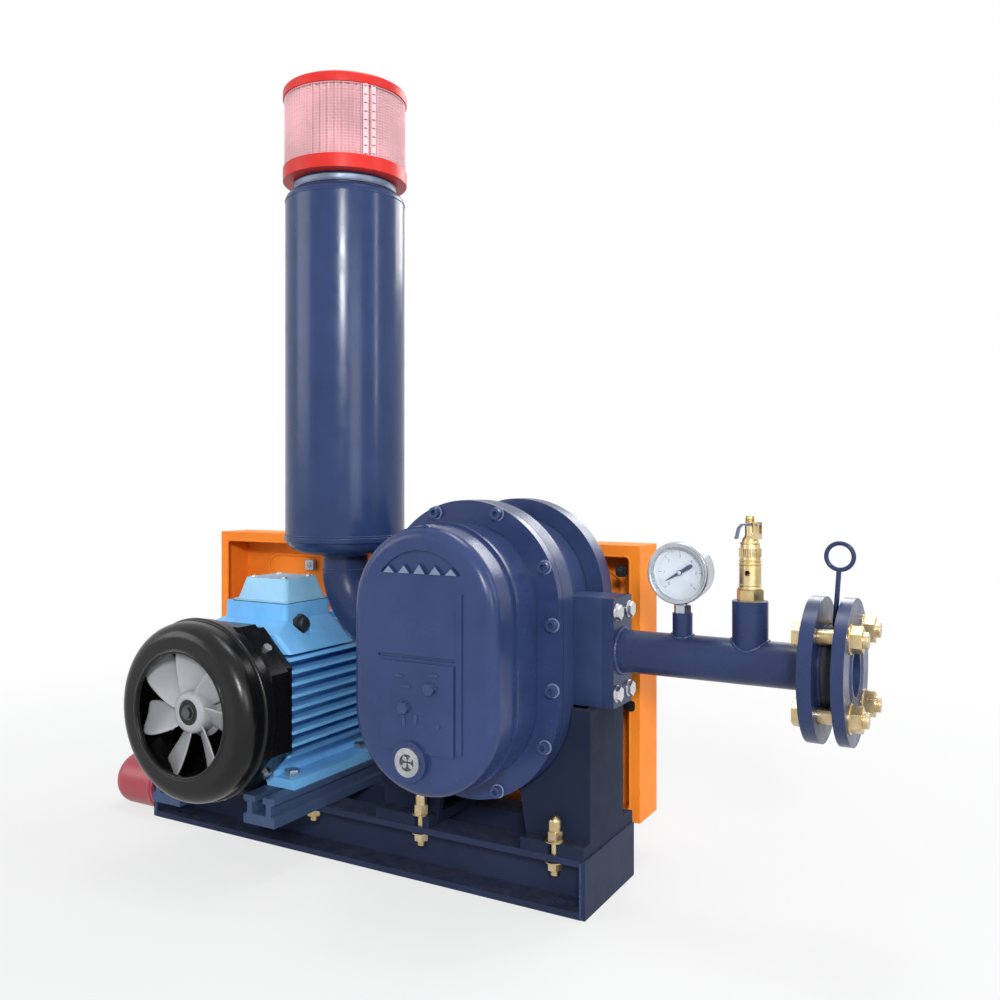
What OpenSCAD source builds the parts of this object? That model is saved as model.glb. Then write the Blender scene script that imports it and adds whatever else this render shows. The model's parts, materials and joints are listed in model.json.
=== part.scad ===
// Belt-driven twin-lobe air blower on a channel base.
// Millimetres. X runs along the base, +Y to the back, +Z up.
// The origin is the centre of the foundation bolt holes, on the floor.

/* [Base frame] */
// Length of the base frame
base_l = 680; // [660:5:760]
// Depth of the base frame, front to back
base_d = 145; // [140:1:180]
// Height of the base channels
base_h = 65; // [60:1:80]
// Flange width of the base channels
channel_w = 42; // [38:1:50]
// Web thickness of the base channels
channel_web = 5.5; // [4:0.5:8]
// Flange thickness of the base channels
channel_flange = 7.5; // [6:0.5:10]
// Distance of the foundation holes from each end
found_inset = 40; // [30:1:60]
// Diameter of the foundation holes
found_d = 14; // [12:1:18]

/* [Tube end on the base] */
// Diameter of the stub tube at the left end
stub_d = 60; // [50:1:64]
// Length of the moulded cap over the stub
cap_l = 85; // [60:1:100]
// Wall of the moulded cap
cap_wall = 7; // [4:1:9]

/* [Blower] */
// Distance between the two rotor shafts
rotor_cc = 108; // [104:1:112]
// Length of the rotor casing
casing_l = 85; // [80:1:92]
// Wall of the rotor casing
casing_wall = 14.7; // [12:0.1:18]
// Thickness of each end plate
plate_t = 26; // [24:1:30]
// How far the end plates stand out round the casing
plate_lip = 22; // [18:1:26]
// Height of the blower's centre above the base
blower_rise = 223; // [218:1:240]
// Distance of the blower's centre from the base's right end
blower_inset = 143; // [134:1:152]
// Diameter of both rotor shafts
shaft_d = 35; // [30:1:38]
// Gap between the rotors and the casing bore
rotor_gap = 0.3; // [0.2:0.05:0.5]
// Gap left between the two rotor flanks
flank_gap = 0.5; // [0.3:0.1:0.8]

/* [Gear cover] */
// Depth of the gear cover
cover_depth = 108; // [98:1:118]
// Outer radius of the gear cover round each shaft
cover_r = 92; // [88:1:98]
// Wall of the gear cover
cover_wall = 8; // [6:1:12]
// Edge rounding of the gear cover
cover_fillet = 14; // [10:1:20]
// Teeth on each timing gear
gear_teeth = 27; // [24:1:30]
// Face width of the timing gears
gear_w = 28; // [22:1:34]

/* [Ports and pipe] */
// Width of the port bosses along the shafts
port_w = 54; // [50:1:62]
// Height of the port bosses
port_h = 124; // [110:1:130]
// How far the outlet boss stands out from the casing
port_out = 50; // [44:1:58]
// How far the inlet boss stands out on the motor side
inlet_out = 40; // [36:1:46]
// Thickness of the port flange plates
port_plate = 14; // [10:1:18]
// Outside diameter of the outlet pipe
pipe_d = 48.3; // [42:0.1:60.3]
// Wall of the outlet pipe
pipe_wall = 3.2; // [2.6:0.1:5]
// Distance from the port plate to the pipe flange
pipe_l = 210; // [200:5:260]
// Outside diameter of the inlet elbow
elbow_d = 60.3; // [57:0.1:63.5]
// Bend radius of the inlet elbow
elbow_r = 76.2; // [70:0.1:90]

/* [Flanges and check valve] */
// Outside diameter of the pipe flanges
flange_d = 150; // [140:1:165]
// Bolt circle of the pipe flanges
flange_pcd = 110; // [105:1:125]
// Thickness of the pipe flange
flange_t = 16; // [12:1:20]
// Thickness of the end flange
end_flange_t = 14; // [12:1:20]
// Thickness of the wafer check valve
valve_t = 11; // [10:0.5:16]
// Diameter of the flange bolts
flange_bolt_d = 16; // [12:1:18]
// Inside radius of the end flange, for a customer's pipe
end_bore_r = 24.65; // [24.65:0.05:27]

/* [Silencer tower] */
// Diameter of the silencer
tower_d = 159; // [150:1:170]
// Height of the silencer body
tower_l = 464; // [420:1:500]
// Diameter of the intake filter
filter_d = 165; // [150:1:176]
// Height of the intake filter
filter_l = 123; // [100:1:140]
// Pleats in the filter paper
pleats = 48; // [36:2:60]

/* [Motor] */
// Shaft height of the motor above its feet
motor_h = 100; // [98:1:104]
// Half width between the motor's foot holes
motor_a = 80; // [76:1:84]
// Distance between foot holes along the shaft
motor_b = 140; // [125:1:150]
// Radius of the motor frame over its fins
motor_r = 100; // [96:1:104]
// Radius of the fan cowl
cowl_r = 110; // [104:1:114]
// Distance of the motor axis from the base's centre
motor_x = -130; // [-135:1:-126]
// Height of the slide rails
rail_h = 35; // [30:1:40]
// Width of the slide rails
rail_w = 50; // [46:1:54]
// Length of the slide rails
rail_l = 225; // [215:1:240]

/* [Belt drive] */
// Pitch diameter of the motor pulley
motor_pulley_d = 125; // [112:1:132]
// Pitch diameter of the blower pulley
blower_pulley_d = 100; // [90:1:112]
// Number of belts
belts = 2; // [1:1:2]
// Depth of the belt guard
guard_d = 60; // [56:1:70]
// Sheet thickness of the belt guard
guard_t = 2; // [1.5:0.5:3]
// Width of the guard's front lip
guard_lip = 15; // [10:1:25]
// Height of the guard
guard_h = 347; // [330:1:360]
// How far the guard reaches past the base's left end
guard_past = 40; // [20:1:60]

/* [Gauge and relief valve] */
// Distance of the gauge from the port plate
gauge_out = 71; // [66:1:80]
// Radius of the gauge bezel
gauge_r = 34; // [30:0.5:36]
// Distance of the relief valve from the port plate
relief_out = 146; // [135:1:160]
// Direction of the needle at rest, anticlockwise from +X
needle_rest = 211; // [200:1:225]

/* [Hidden] */
$fn = 72;
navy = "#2b3558";
sky = "#5ba3d6";
zinc = "#d9c27a";
steel = "#b8bcc4";

// Stations along Y, from the gear cover's face to the guard's back
front_y = -base_d / 2;
back_y = base_d / 2;
plate_y = front_y - 2;
cover_y = plate_y - cover_depth;
casing_y = plate_y + plate_t;
drive_y = casing_y + casing_l;
drive_end = drive_y + plate_t;
port_y = casing_y + casing_l / 2;
guard_y = back_y + 24.5;
guard_back = guard_y + guard_d;

// Blower centre, shaft heights and radii
bx = base_l / 2 - blower_inset;
bz = base_h + blower_rise;
low_z = bz - rotor_cc / 2;
high_z = bz + rotor_cc / 2;
pitch_r = rotor_cc / 2;
roll_r = pitch_r / 4;
rotor_r = pitch_r + 2 * roll_r;
bore_r = rotor_r + rotor_gap;
casing_r = bore_r + casing_wall;
plate_r = casing_r + plate_lip;
shaft_r = shaft_d / 2;
fit = 0.05;
gap = 0.3;
bearing_r = shaft_r + 13;
bearing_w = 15;
seal_w = 8;

// Port faces, pipe and flange stations along X
port_x = bx + casing_r + port_out;
plate_x = port_x + port_plate;
inlet_x = bx - casing_r - inlet_out;
pipe_r = pipe_d / 2;
pipe_in = pipe_r - pipe_wall;
flange_x = plate_x + pipe_l;
gasket_t = 1.5;
valve_x = flange_x + flange_t + gasket_t;
end_x = valve_x + valve_t + gasket_t;
end_face = end_x + end_flange_t;
valve_r = flange_pcd / 2 - flange_bolt_d / 2 - 1;

// Silencer tower
elbow_or = elbow_d / 2;
elbow_wall = 3;
stub_run = 15;
tower_x = inlet_x - port_plate - stub_run - elbow_r;
tower_r = tower_d / 2;
neck_z = bz + elbow_r;
tower_z = neck_z + 38;
tower_top = tower_z + tower_l;
filter_z = tower_top + 14;
filter_r = filter_d / 2;
dish_h = 18;

// Motor
motor_z = base_h + rail_h + motor_h;
shoulder_y = guard_y + 0.5;
frame_back = shoulder_y - 42;
frame_front = frame_back - 181;
shield_front = frame_front - 12;
cowl_back = shield_front;
collar_l = 29;
cowl_l = 50;
cowl_front = cowl_back - collar_l - cowl_l;
foot_y2 = shoulder_y - 63;
foot_y1 = foot_y2 - motor_b;
rail_y2 = foot_y2 + 26;
motor_shaft_r = 14;
stator_out = 70;
stator_in = 45;
cowl_open = 74;

// Belt drive
pulley_y = guard_y + 8;
pulley_w = 15 * belts + 12;
pulley_mid = pulley_y + pulley_w / 2;
groove_pitch = 15;
belt_top = 6.4;
belt_bot = 3;
belt_up = 2.5;
belt_down = 7.5;
guard_x1 = -base_l / 2 - guard_past;
guard_x2 = base_l / 2 - 2;
guard_z = base_h - 11;

// Gauge and relief valve
gauge_x = plate_x + gauge_out;
relief_x = plate_x + relief_out;
gauge_z = bz + pipe_r + 24 + 12 + gauge_r - 1;
socket_r = 19;
socket_z = bz + 66;

// Runs a shape's own Z axis along +Y, keeping X, with its Y pointing up
module along_y(x, y, z) {
  translate([x, y, z]) rotate([-90, 0, 0]) mirror([0, 1, 0]) children();
}

// Runs a shape's own Z axis along +X
module along_x(x, y, z) {
  translate([x, y, z]) rotate([0, 90, 0]) children();
}

// Outline with a round end about each shaft
module twin(r, cc = rotor_cc) {
  for (s = [-1, 1]) translate([0, s * cc / 2]) circle(r);
  translate([-r, -cc / 2]) square([2 * r, cc]);
}

module twin_block(r, y, l) {
  along_y(bx, y, bz) linear_extrude(l) twin(r);
}

// Half section of a domed cover, radius by height, with a rounded far edge
module edge_section(r, h, f) {
  square([r - f, h]);
  square([r, h - f]);
  translate([r - f, h - f]) intersection() {
    circle(f);
    square(f);
  }
}

// Twin-ended block whose far face has a rounded edge all round
module twin_dome(r, h, f) {
  for (s = [-1, 1]) translate([0, s * rotor_cc / 2, 0]) rotate_extrude() edge_section(r, h, f);
  translate([0, rotor_cc / 2, 0]) rotate([90, 0, 0]) linear_extrude(rotor_cc) {
    edge_section(r, h, f);
    mirror([1, 0]) edge_section(r, h, f);
  }
}

module ring(ro, ri, h) {
  difference() {
    cylinder(r = ro, h = h);
    translate([0, 0, -1]) cylinder(r = ri, h = h + 2);
  }
}

module hex(af, h) {
  cylinder(r = af / sqrt(3), h = h, $fn = 6);
}

// Hex-headed screw: head from 0 upwards, shank downwards
module screw(d, l) {
  hex(1.7 * d, 0.65 * d);
  translate([0, 0, -l]) cylinder(d = d, h = l);
}

// Socket-headed screw pointing along +Z, with its head below zero
module cap_screw(d, l) {
  cylinder(d = d, h = l);
  translate([0, 0, -d]) difference() {
    cylinder(d = 1.6 * d, h = d);
    translate([0, 0, -1]) hex(0.75 * d, 0.6 * d + 1);
  }
}

// ---- base

module channel(y_edge, side) {
  inner = base_l / 2 - channel_web;
  translate([-inner, 0, 0]) rotate([90, 0, 90]) linear_extrude(2 * inner)
    translate([y_edge, 0]) scale([side, 1]) difference() {
      square([channel_w, base_h]);
      translate([-1, channel_flange]) square([channel_w - channel_web + 1, base_h - 2 * channel_flange]);
    }
}

module found_holes() {
  for (sx = [-1, 1]) for (sy = [-1, 1])
    translate([sx * (base_l / 2 - found_inset), sy * (base_d / 2 - found_edge), -1])
      cylinder(d = found_d, h = channel_flange + 2);
}
found_edge = 18;

// Holes through the top flanges for the studs that hold feet and rails
module stud_holes() {
  for (p = base_studs) translate([p[0], p[1], base_h - channel_flange - 1])
    cylinder(r = stud_r + 0.5, h = channel_flange + 2);
}
stud_r = 5;
stud_edge = 7;
leg_studs = [-77, 103];
rail_stud_y1 = front_y + 10;
rail_stud_y2 = back_y - 14;
base_studs = concat(
  [for (x = leg_studs) for (y = [front_y + stud_edge, back_y - stud_edge]) [bx + x, y]],
  [for (sx = [-1, 1]) for (y = [rail_stud_y1, rail_stud_y2]) [motor_x + sx * motor_a, y]]);

module front_channel() {
  color(navy) difference() {
    channel(front_y, 1);
    found_holes();
    stud_holes();
  }
}

module rear_channel() {
  color(navy) difference() {
    channel(back_y, -1);
    found_holes();
    stud_holes();
  }
}

module end_members() {
  color(navy) {
    for (s = [-1, 1]) translate([s > 0 ? base_l / 2 - channel_web : -base_l / 2, front_y, 0])
      cube([channel_web, base_d, base_h]);
    along_x(-base_l / 2 - stub_l, stub_y, stub_z) ring(stub_d / 2, stub_d / 2 - 4, stub_l);
  }
}
stub_l = 50;
stub_y = -40;
stub_z = stub_d / 2 + cap_wall + 1;

module end_cap() {
  color("#c8323c") along_x(-base_l / 2 - gap, stub_y, stub_z) mirror([0, 0, 1]) difference() {
    rotate_extrude() edge_section(stub_d / 2 + cap_wall, cap_l, 20);
    translate([0, 0, -1]) cylinder(r = stub_d / 2 + 0.1, h = stub_l + 1);
  }
}

// Motor slide rail with a T slot along its top
module slide_rails() {
  color(navy) for (s = [-1, 1]) difference() {
    translate([motor_x + s * motor_a, rail_y2, base_h]) rotate([90, 0, 0]) linear_extrude(rail_l)
      difference() {
        translate([-rail_w / 2, 0]) square([rail_w, rail_h]);
        translate([-rail_slot, rail_h - 10]) square([2 * rail_slot, 11]);
        translate([-rail_tee, rail_h - 22]) square([2 * rail_tee, 14]);
        for (k = [-1, 1]) translate([k * rail_w / 2, rail_h / 2 + 2]) scale([k, 1])
          polygon([[1, -9], [-6, -6], [-6, 6], [1, 9]]);
      }
    for (y = [rail_stud_y1, rail_stud_y2])
      translate([motor_x + s * motor_a, y, base_h - 1]) cylinder(r = stud_r + 0.5, h = rail_h);
  }
}
rail_slot = 6;
rail_tee = 11;

module nut(af, h, r) {
  difference() {
    hex(af, h);
    translate([0, 0, -1]) cylinder(r = r, h = h + 2);
  }
}

// Studs with a nut under the channel flange and a domed nut on the foot
module base_bolts() {
  under = base_h - channel_flange;
  color(zinc) for (p = base_studs) {
    leg = p[0] > bx - leg_out;
    top = leg ? base_h + leg_foot : base_h + rail_h - 22;
    translate([p[0], p[1], under - 16]) cylinder(r = stud_r, h = top - under + 16 + (leg ? 12 : 7));
    translate([p[0], p[1], under - 10]) hex(16, 10);
    if (leg) translate([p[0], p[1], top]) {
      hex(16, 12);
      translate([0, 0, 12]) rotate_extrude() edge_section(7.5, 17, 7);
    }
    else translate([p[0], p[1], top]) hex(16, 7);
  }
}
leg_foot = 14;

// ---- motor

// Square outline with its corners cut off
module octagon(half, cut) {
  polygon([for (q = [[1, 1], [-1, 1], [-1, -1], [1, -1]]) each
    (q[0] == q[1] ? [[q[0] * half, q[1] * (half - cut)], [q[0] * (half - cut), q[1] * half]]
                  : [[q[0] * (half - cut), q[1] * half], [q[0] * half, q[1] * (half - cut)]])]);
}

module motor_housing() {
  pad = motor_h - 88;
  color(sky) difference() {
    union() {
      along_y(motor_x, frame_front, motor_z) linear_extrude(frame_back - frame_front) {
        circle(stator_out + 12);
        intersection() {
          octagon(motor_r, 46);
          union() {
            for (z = [-60:15:60]) translate([-motor_r, z - 2]) square([2 * motor_r, 4]);
            for (x = [-45:15:45]) translate([x - 2, -motor_r + 8]) square([4, 60]);
          }
        }
        translate([-44, 0]) square([88, motor_r - 14]);
      }
      for (s = [-1, 1]) along_y(motor_x, foot_y1 - 20, motor_z) linear_extrude(motor_b + 40)
        scale([s, 1]) polygon([[motor_a - 22, -motor_h], [motor_a + 22, -motor_h], [motor_a + 22, pad - motor_h],
          [motor_a - 11, pad - motor_h], [motor_a - 16, -60], [50, -56], [44, -66]]);
    }
    along_y(motor_x, frame_front - 1, motor_z) cylinder(r = stator_out, h = frame_back - frame_front + 2);
    for (s = [-1, 1]) for (y = [foot_y1, foot_y2])
      translate([motor_x + s * motor_a, y, motor_z - motor_h - 1]) cylinder(r = 6, h = 40);
  }
}

module motor_rear_shield() {
  color("#24262b") along_y(motor_x, shield_front, motor_z) difference() {
    union() {
      linear_extrude(12) octagon(motor_r - 2, 46);
      translate([0, 0, 11]) cylinder(r = stator_out - fit, h = 9);
      for (a = [45:90:315]) rotate(a) translate([90, -9, -16]) cube([collar_flat - 90, 18, 17]);
    }
    for (a = [45:90:315]) rotate(a) translate([collar_flat - 12, 0, -9]) rotate([0, 90, 0]) cylinder(r = 3, h = 20);
    translate([0, 0, -1]) cylinder(r = motor_shaft_r + 1, h = 30);
    translate([0, 0, 8]) cylinder(r = motor_bearing_r, h = 20);
  }
}
motor_bearing_r = 30;
motor_bearing_w = 14;

module motor_front_shield() {
  color(sky) along_y(motor_x, frame_back, motor_z) difference() {
    rotate_extrude() polygon([[0, -8], [stator_out - fit, -8], [stator_out - fit, 0], [motor_r - 6, 0],
      [motor_r - 6, 14], [motor_r - 14, 20], [52, 26], [46, 36], [36, 38], [0, 38]]);
    translate([0, 0, -10]) cylinder(r = motor_shaft_r + 1, h = 60);
    translate([0, 0, -10]) cylinder(r = 60, h = 14);
    translate([0, 0, 3]) cylinder(r = motor_bearing_r, h = 22);
  }
}

module stator_core() {
  color("#8a6a3c") along_y(motor_x, frame_front + 30, motor_z) {
    ring(stator_out - fit, stator_in, frame_back - frame_front - 60);
    for (z = [-14, frame_back - frame_front - 60]) translate([0, 0, z]) ring(stator_out - 5, stator_in + 4, 14);
  }
}

module motor_bearings() {
  color(steel) {
    along_y(motor_x, shield_front + 8, motor_z) ring(motor_bearing_r - fit, motor_shaft_r + fit, motor_bearing_w);
    along_y(motor_x, frame_back + 3 + 22 - motor_bearing_w, motor_z)
      ring(motor_bearing_r - fit, motor_shaft_r + fit, motor_bearing_w);
  }
}

collar_half = cowl_r - 7;
collar_cut = 54;
collar_wall = 3;
collar_flat = (2 * (collar_half - collar_wall) - collar_cut) / sqrt(2);
collar_skin = (2 * collar_half - collar_cut) / sqrt(2);

// Round fan cowl with rolled rings, on an eight-sided collar
module fan_cowl() {
  color("#1d1e21") along_y(motor_x, cowl_front, motor_z) {
    rotate_extrude() difference() {
      union() {
        square([cowl_r - 20, 4]);
        translate([cowl_r - 20, 20]) difference() {
          circle(20);
          circle(17);
          translate([-20, 0]) square([40, 20]);
          translate([-20, -20]) square([20, 40]);
        }
        translate([cowl_r - 3, 20]) square([3, cowl_l - 20]);
        translate([cowl_r, 34]) circle(3);
        translate([cowl_open + 2, 2]) circle(3.5);
        translate([cowl_r - 14, cowl_l - 3]) square([14, 3]);
      }
      translate([0, -5]) square([cowl_open, 20]);
      translate([-200, -10]) square([200, 100]);
    }
    translate([0, 0, cowl_l]) difference() {
      linear_extrude(collar_l) octagon(collar_half, collar_cut);
      translate([0, 0, -1]) linear_extrude(collar_l + 2) octagon(collar_half - collar_wall, collar_cut);
      for (a = [45:90:315]) rotate(a) translate([collar_flat - 4, 0, collar_l - 9]) rotate([0, 90, 0])
        cylinder(r = 3.3, h = 12);
    }
    translate([0, 0, cowl_l]) difference() {
      linear_extrude(3) octagon(collar_half - 1, collar_cut);
      translate([0, 0, -1]) cylinder(r = cowl_r - 12, h = 5);
    }
  }
}

// Slab with round corners, for the terminal box
module slab(w, d, h, r) {
  linear_extrude(h) for (m = [0, 1]) {
    if (m == 0) translate([-w / 2 + r, -d / 2]) square([w - 2 * r, d]);
    else translate([-w / 2, -d / 2 + r]) square([w, d - 2 * r]);
    for (sx = [-1, 1]) for (sy = [-1, 1]) translate([sx * (w / 2 - r), sy * (d / 2 - r)]) circle(r);
  }
}

box_y1 = frame_front + 37.5;
box_y2 = box_y1 + 90;
box_w = 100;
box_rim = motor_z + 122;
skirt_y1 = frame_front + 1.5;
skirt_half = motor_r - 6;

// Thin layer of the terminal box, for its flared sides
module box_layer(half, y1, y2, z, h = 0.2) {
  translate([motor_x, (y1 + y2) / 2, z]) slab(2 * half, y2 - y1, h, 6);
}

// Box on a skirt that flares out over the top of the motor frame
module terminal_box() {
  half = box_w / 2 + 4;
  color(sky) difference() {
    union() {
      box_layer(half, box_y1, box_y2, box_rim - 22, 22);
      hull() {
        box_layer(half - 0.2, box_y1 + 0.2, box_y2 - 0.2, box_rim - 21);
        box_layer(half + 17, skirt_y1, box_y2 + 2, box_rim - 34);
      }
      hull() {
        box_layer(half + 16.8, skirt_y1 + 0.2, box_y2 + 1.8, box_rim - 34);
        box_layer(skirt_half, skirt_y1, box_y2 + 2, motor_z + 66);
      }
    }
    translate([motor_x - half + 8, box_y1 + 9, box_rim - 24])
      cube([2 * half - 16, box_y2 - box_y1 - 18, 40]);
    along_y(motor_x, skirt_y1 - 10, motor_z) linear_extrude(200) {
      circle(stator_out + 12 + gap);
      translate([-44 - gap, 0]) square([88 + 2 * gap, motor_r - 14]);
    }
    // Round spot face and hole for the cable gland
    along_x(gland_x, gland_y, gland_z) cylinder(r = 14, h = 60);
    along_x(gland_x - 22, gland_y, gland_z) cylinder(r = gland_r + 0.05, h = 40);
  }
}
gland_x = motor_x + box_w / 2 + 8;
gland_y = box_y1 + 20;
gland_z = box_rim - 26;
gland_r = 8;

module terminal_box_lid() {
  d = box_y2 - box_y1;
  color("#6fb4e2") translate([motor_x + 4, (box_y1 + box_y2) / 2, box_rim]) {
    slab(box_w - 4, d - 6, 3, 8);
    hull() {
      translate([2, 0, 2.8]) slab(box_w - 14, d - 10, 0.2, 6);
      translate([2, 0, 30]) slab(box_w - 28, d - 24, 1, 8);
    }
  }
}

module cable_gland() {
  color("#4b5058") along_x(gland_x - 16, gland_y, gland_z) {
    cylinder(r = gland_r, h = 16);
    translate([0, 0, 16]) hex(22, 7);
    translate([0, 0, 23]) rotate_extrude() edge_section(9, 6, 3);
  }
}

module motor_bolts() {
  color(steel) {
    for (s = [-1, 1]) for (y = [foot_y1, foot_y2])
      translate([motor_x + s * motor_a, y, motor_z - motor_h + 12]) {
        screw(10, 12 + 18);
        translate([-9, -9, -12 - 20]) cube([18, 18, 10]);
      }
    for (a = [45:90:315]) along_y(motor_x, cowl_back - 9, motor_z) rotate(a)
      translate([collar_skin, 0, 0]) rotate([0, 90, 0]) screw(6, 12);
  }
}

// Rotor core and shaft of the motor, with its belt pulley
module motor_shaft() {
  color(steel) {
    along_y(motor_x, cowl_front + 16, motor_z) cylinder(r = motor_shaft_r, h = pulley_y + pulley_w + 1 - cowl_front - 16);
    along_y(motor_x, frame_front + 30, motor_z) cylinder(r = stator_in - 0.5, h = frame_back - frame_front - 60);
  }
  color("#55585e") along_y(motor_x, pulley_y, motor_z) pulley(motor_pulley_d / 2, motor_shaft_r - 1);
}

fan_blades = 7;
fan_r = 90;
module cooling_fan() {
  color("#a9abb0") along_y(motor_x, cowl_front + 10, motor_z) difference() {
    union() {
      cylinder(r = 26, h = 34);
      translate([0, 0, 30]) cylinder(r = 60, h = 4);
      for (i = [0:fan_blades - 1]) rotate(i * 360 / fan_blades) intersection() {
        translate([54, 0, 16]) rotate([-36, 0, 0]) cube([78, 4, 60], center = true);
        translate([0, 0, 2]) cylinder(r = fan_r, h = 30);
      }
    }
    translate([0, 0, 6]) cylinder(r = motor_shaft_r + fit, h = 40);
  }
}

// ---- blower

module gear_plate_body(y) {
  twin_block(plate_r, y, plate_t);
}

// Seats for a bearing and a seal on each shaft of an end plate, outer side first
module plate_seats(y, dir) {
  for (z = [low_z, high_z]) translate([bx, y, z]) rotate([dir > 0 ? -90 : 90, 0, 0]) {
    translate([0, 0, -1]) cylinder(r = bearing_r, h = bearing_w + 2);
    cylinder(r = bearing_r - 6, h = bearing_w + 1 + seal_w);
    cylinder(r = shaft_r + 0.5, h = plate_t + 1);
  }
}

module gear_plate() {
  color(navy) difference() {
    gear_plate_body(plate_y);
    plate_seats(plate_y, 1);
    for (p = cover_bolts) along_y(bx + p[0], plate_y - 1, bz + p[1]) cylinder(r = 4.1, h = 13);
  }
}

module drive_plate() {
  color(navy) difference() {
    gear_plate_body(drive_y);
    plate_seats(drive_end, -1);
  }
}
cover_flange = 12;
// Screws round the cover's flange, on both end arcs and down both sides
screw_r = plate_r - 7;
cover_bolts = [for (s = [-1, 1]) each concat(
  [for (a = [24:44:156]) [screw_r * cos(a), s * (rotor_cc / 2 + screw_r * sin(a))]],
  [[screw_r, s * 36], [-screw_r, s * 36]])];

// Two-lobe rotor outline: epicycloid tips and hypocycloid waists
function lobe(t) = [(pitch_r + roll_r) * cos(t) - roll_r * cos(5 * t), (pitch_r + roll_r) * sin(t) - roll_r * sin(5 * t)];
function waist(t) = [(pitch_r - roll_r) * cos(t) + roll_r * cos(3 * t), (pitch_r - roll_r) * sin(t) - roll_r * sin(3 * t)];
function turn(p, a) = [p[0] * cos(a) - p[1] * sin(a), p[0] * sin(a) + p[1] * cos(a)];
rotor_steps = 20;
module rotor_outline() {
  offset(delta = -flank_gap / 2) polygon([for (q = [0:3]) for (i = [0:rotor_steps - 1])
    let (t = 90 * i / rotor_steps)
      turn(q % 2 == 0 ? lobe(t) : waist(t), 90 * q - 45)]);
}

module rotor(z, turned, y1, y2) {
  along_y(bx, casing_y + gap, z) rotate(turned) linear_extrude(casing_l - 2 * gap) rotor_outline();
  along_y(bx, y1, z) cylinder(r = shaft_r, h = y2 - y1);
}

gear_y = plate_y - 10 - gear_w;
module drive_rotor() {
  color("#9aa0aa") rotor(low_z, 90, gear_y - 14, pulley_y + pulley_w + 1);
}
module driven_rotor() {
  color("#9aa0aa") rotor(high_z, 0, gear_y - 14, drive_end - 2);
}

// Involute timing gear, same tooth count on both shafts
gear_m = rotor_cc / gear_teeth;
gear_base = pitch_r * cos(20);
backlash = 0.25;
function inv(a) = tan(a) * 180 / PI - a;
function half_tooth(r) = 90 / gear_teeth + inv(20) - (r > gear_base ? inv(acos(gear_base / r)) : 0)
  - backlash / 2 / pitch_r * 180 / PI;
module gear_outline() {
  rs = [pitch_r - 1.25 * gear_m, max(gear_base, pitch_r - 0.8 * gear_m), pitch_r - 0.4 * gear_m, pitch_r,
    pitch_r + 0.5 * gear_m, pitch_r + gear_m];
  polygon([for (i = [0:gear_teeth - 1]) each concat(
    [for (r = rs) let (a = 360 * i / gear_teeth - half_tooth(r)) [r * cos(a), r * sin(a)]],
    [for (k = [len(rs) - 1:-1:0]) let (a = 360 * i / gear_teeth + half_tooth(rs[k])) [rs[k] * cos(a), rs[k] * sin(a)]])]);
}
module timing_gear(z, turned) {
  color("#8c9098") along_y(bx, gear_y, z) difference() {
    union() {
      rotate(turned) linear_extrude(gear_w) gear_outline();
      cylinder(r = shaft_r + 12, h = gear_w + 8);
      translate([0, 0, -6]) cylinder(r = shaft_r + 12, h = 8);
    }
    translate([0, 0, -8]) cylinder(r = shaft_r + fit, h = gear_w + 20);
  }
}
module drive_gear() { timing_gear(low_z, 90); }
module driven_gear() { timing_gear(high_z, -90 + 180 / gear_teeth); }

module gear_cover() {
  color("#313b62") difference() {
    union() {
      along_y(bx, plate_y, bz) mirror([0, 0, 1]) twin_dome(cover_r, cover_depth, cover_fillet);
      twin_block(plate_r, plate_y - cover_flange, cover_flange);
      twin_block(cover_r + 3, cover_y + 42, 5);
      // Raised pad below the step, ridge beside it, sight glass boss and lug on the brow
      translate([bx - 50, cover_y - 2.5, bz - 96]) cube([94, 3.5, 96]);
      translate([bx + 46.5, cover_y - 1.8, bz - 92]) cube([7, 3, 168]);
      along_y(sight_x, cover_y - 6, sight_z) cylinder(r = 22, h = 10);
      along_y(bx + 2, cover_y + 7, high_z + cover_r - 7) cylinder(r = 8, h = 16);
    }
    along_y(bx + 2, cover_y + 6, high_z + cover_r - 5) cylinder(r = 3.2, h = 9);
    twin_block(cover_r - cover_wall, cover_y + cover_wall, cover_depth);
    // Half-moon recess over the upper shaft
    along_y(bx, cover_y - 1, high_z) linear_extrude(4) intersection() {
      circle(cover_r - 26);
      translate([-cover_r, 41]) square([2 * cover_r, cover_r]);
    }
    // Groove across the face above the raised pad
    translate([bx - 55, cover_y - 1, bz + 3.5]) cube([99, 3.2, 3.5]);
    along_y(sight_x, cover_y - 7, sight_z) cylinder(r = sight_r + fit, h = 30);
    for (p = plug_points) along_y(p[0], cover_y - 5, p[1]) cylinder(r = 6 + fit, h = 30);
    for (p = cover_bolts) along_y(bx + p[0], plate_y - cover_flange - 1, bz + p[1]) cylinder(r = 4.4, h = cover_flange + 2);
  }
  color("#313b62") for (i = [-2:2]) along_y(bx + i * 20, cover_y - 1, high_z + 41) linear_extrude(4.2)
    polygon([[-8, -0.5], [8, -0.5], [0, 11 - 1.5 * abs(i)]]);
}
sight_x = bx - 11;
sight_z = low_z - 52;
sight_r = 13;
plug_points = [[bx - 18, low_z + 5], [bx + 15, low_z + 28]];

module sight_glass() {
  color("#c9ccd0") along_y(sight_x, cover_y - 9, sight_z) {
    difference() {
      union() {
        cylinder(r = sight_r, h = 16);
        cylinder(r = sight_r + 2.5, h = 3);
      }
      translate([0, 0, -1]) cylinder(r = sight_r - 4, h = 6);
    }
  }
}

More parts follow.
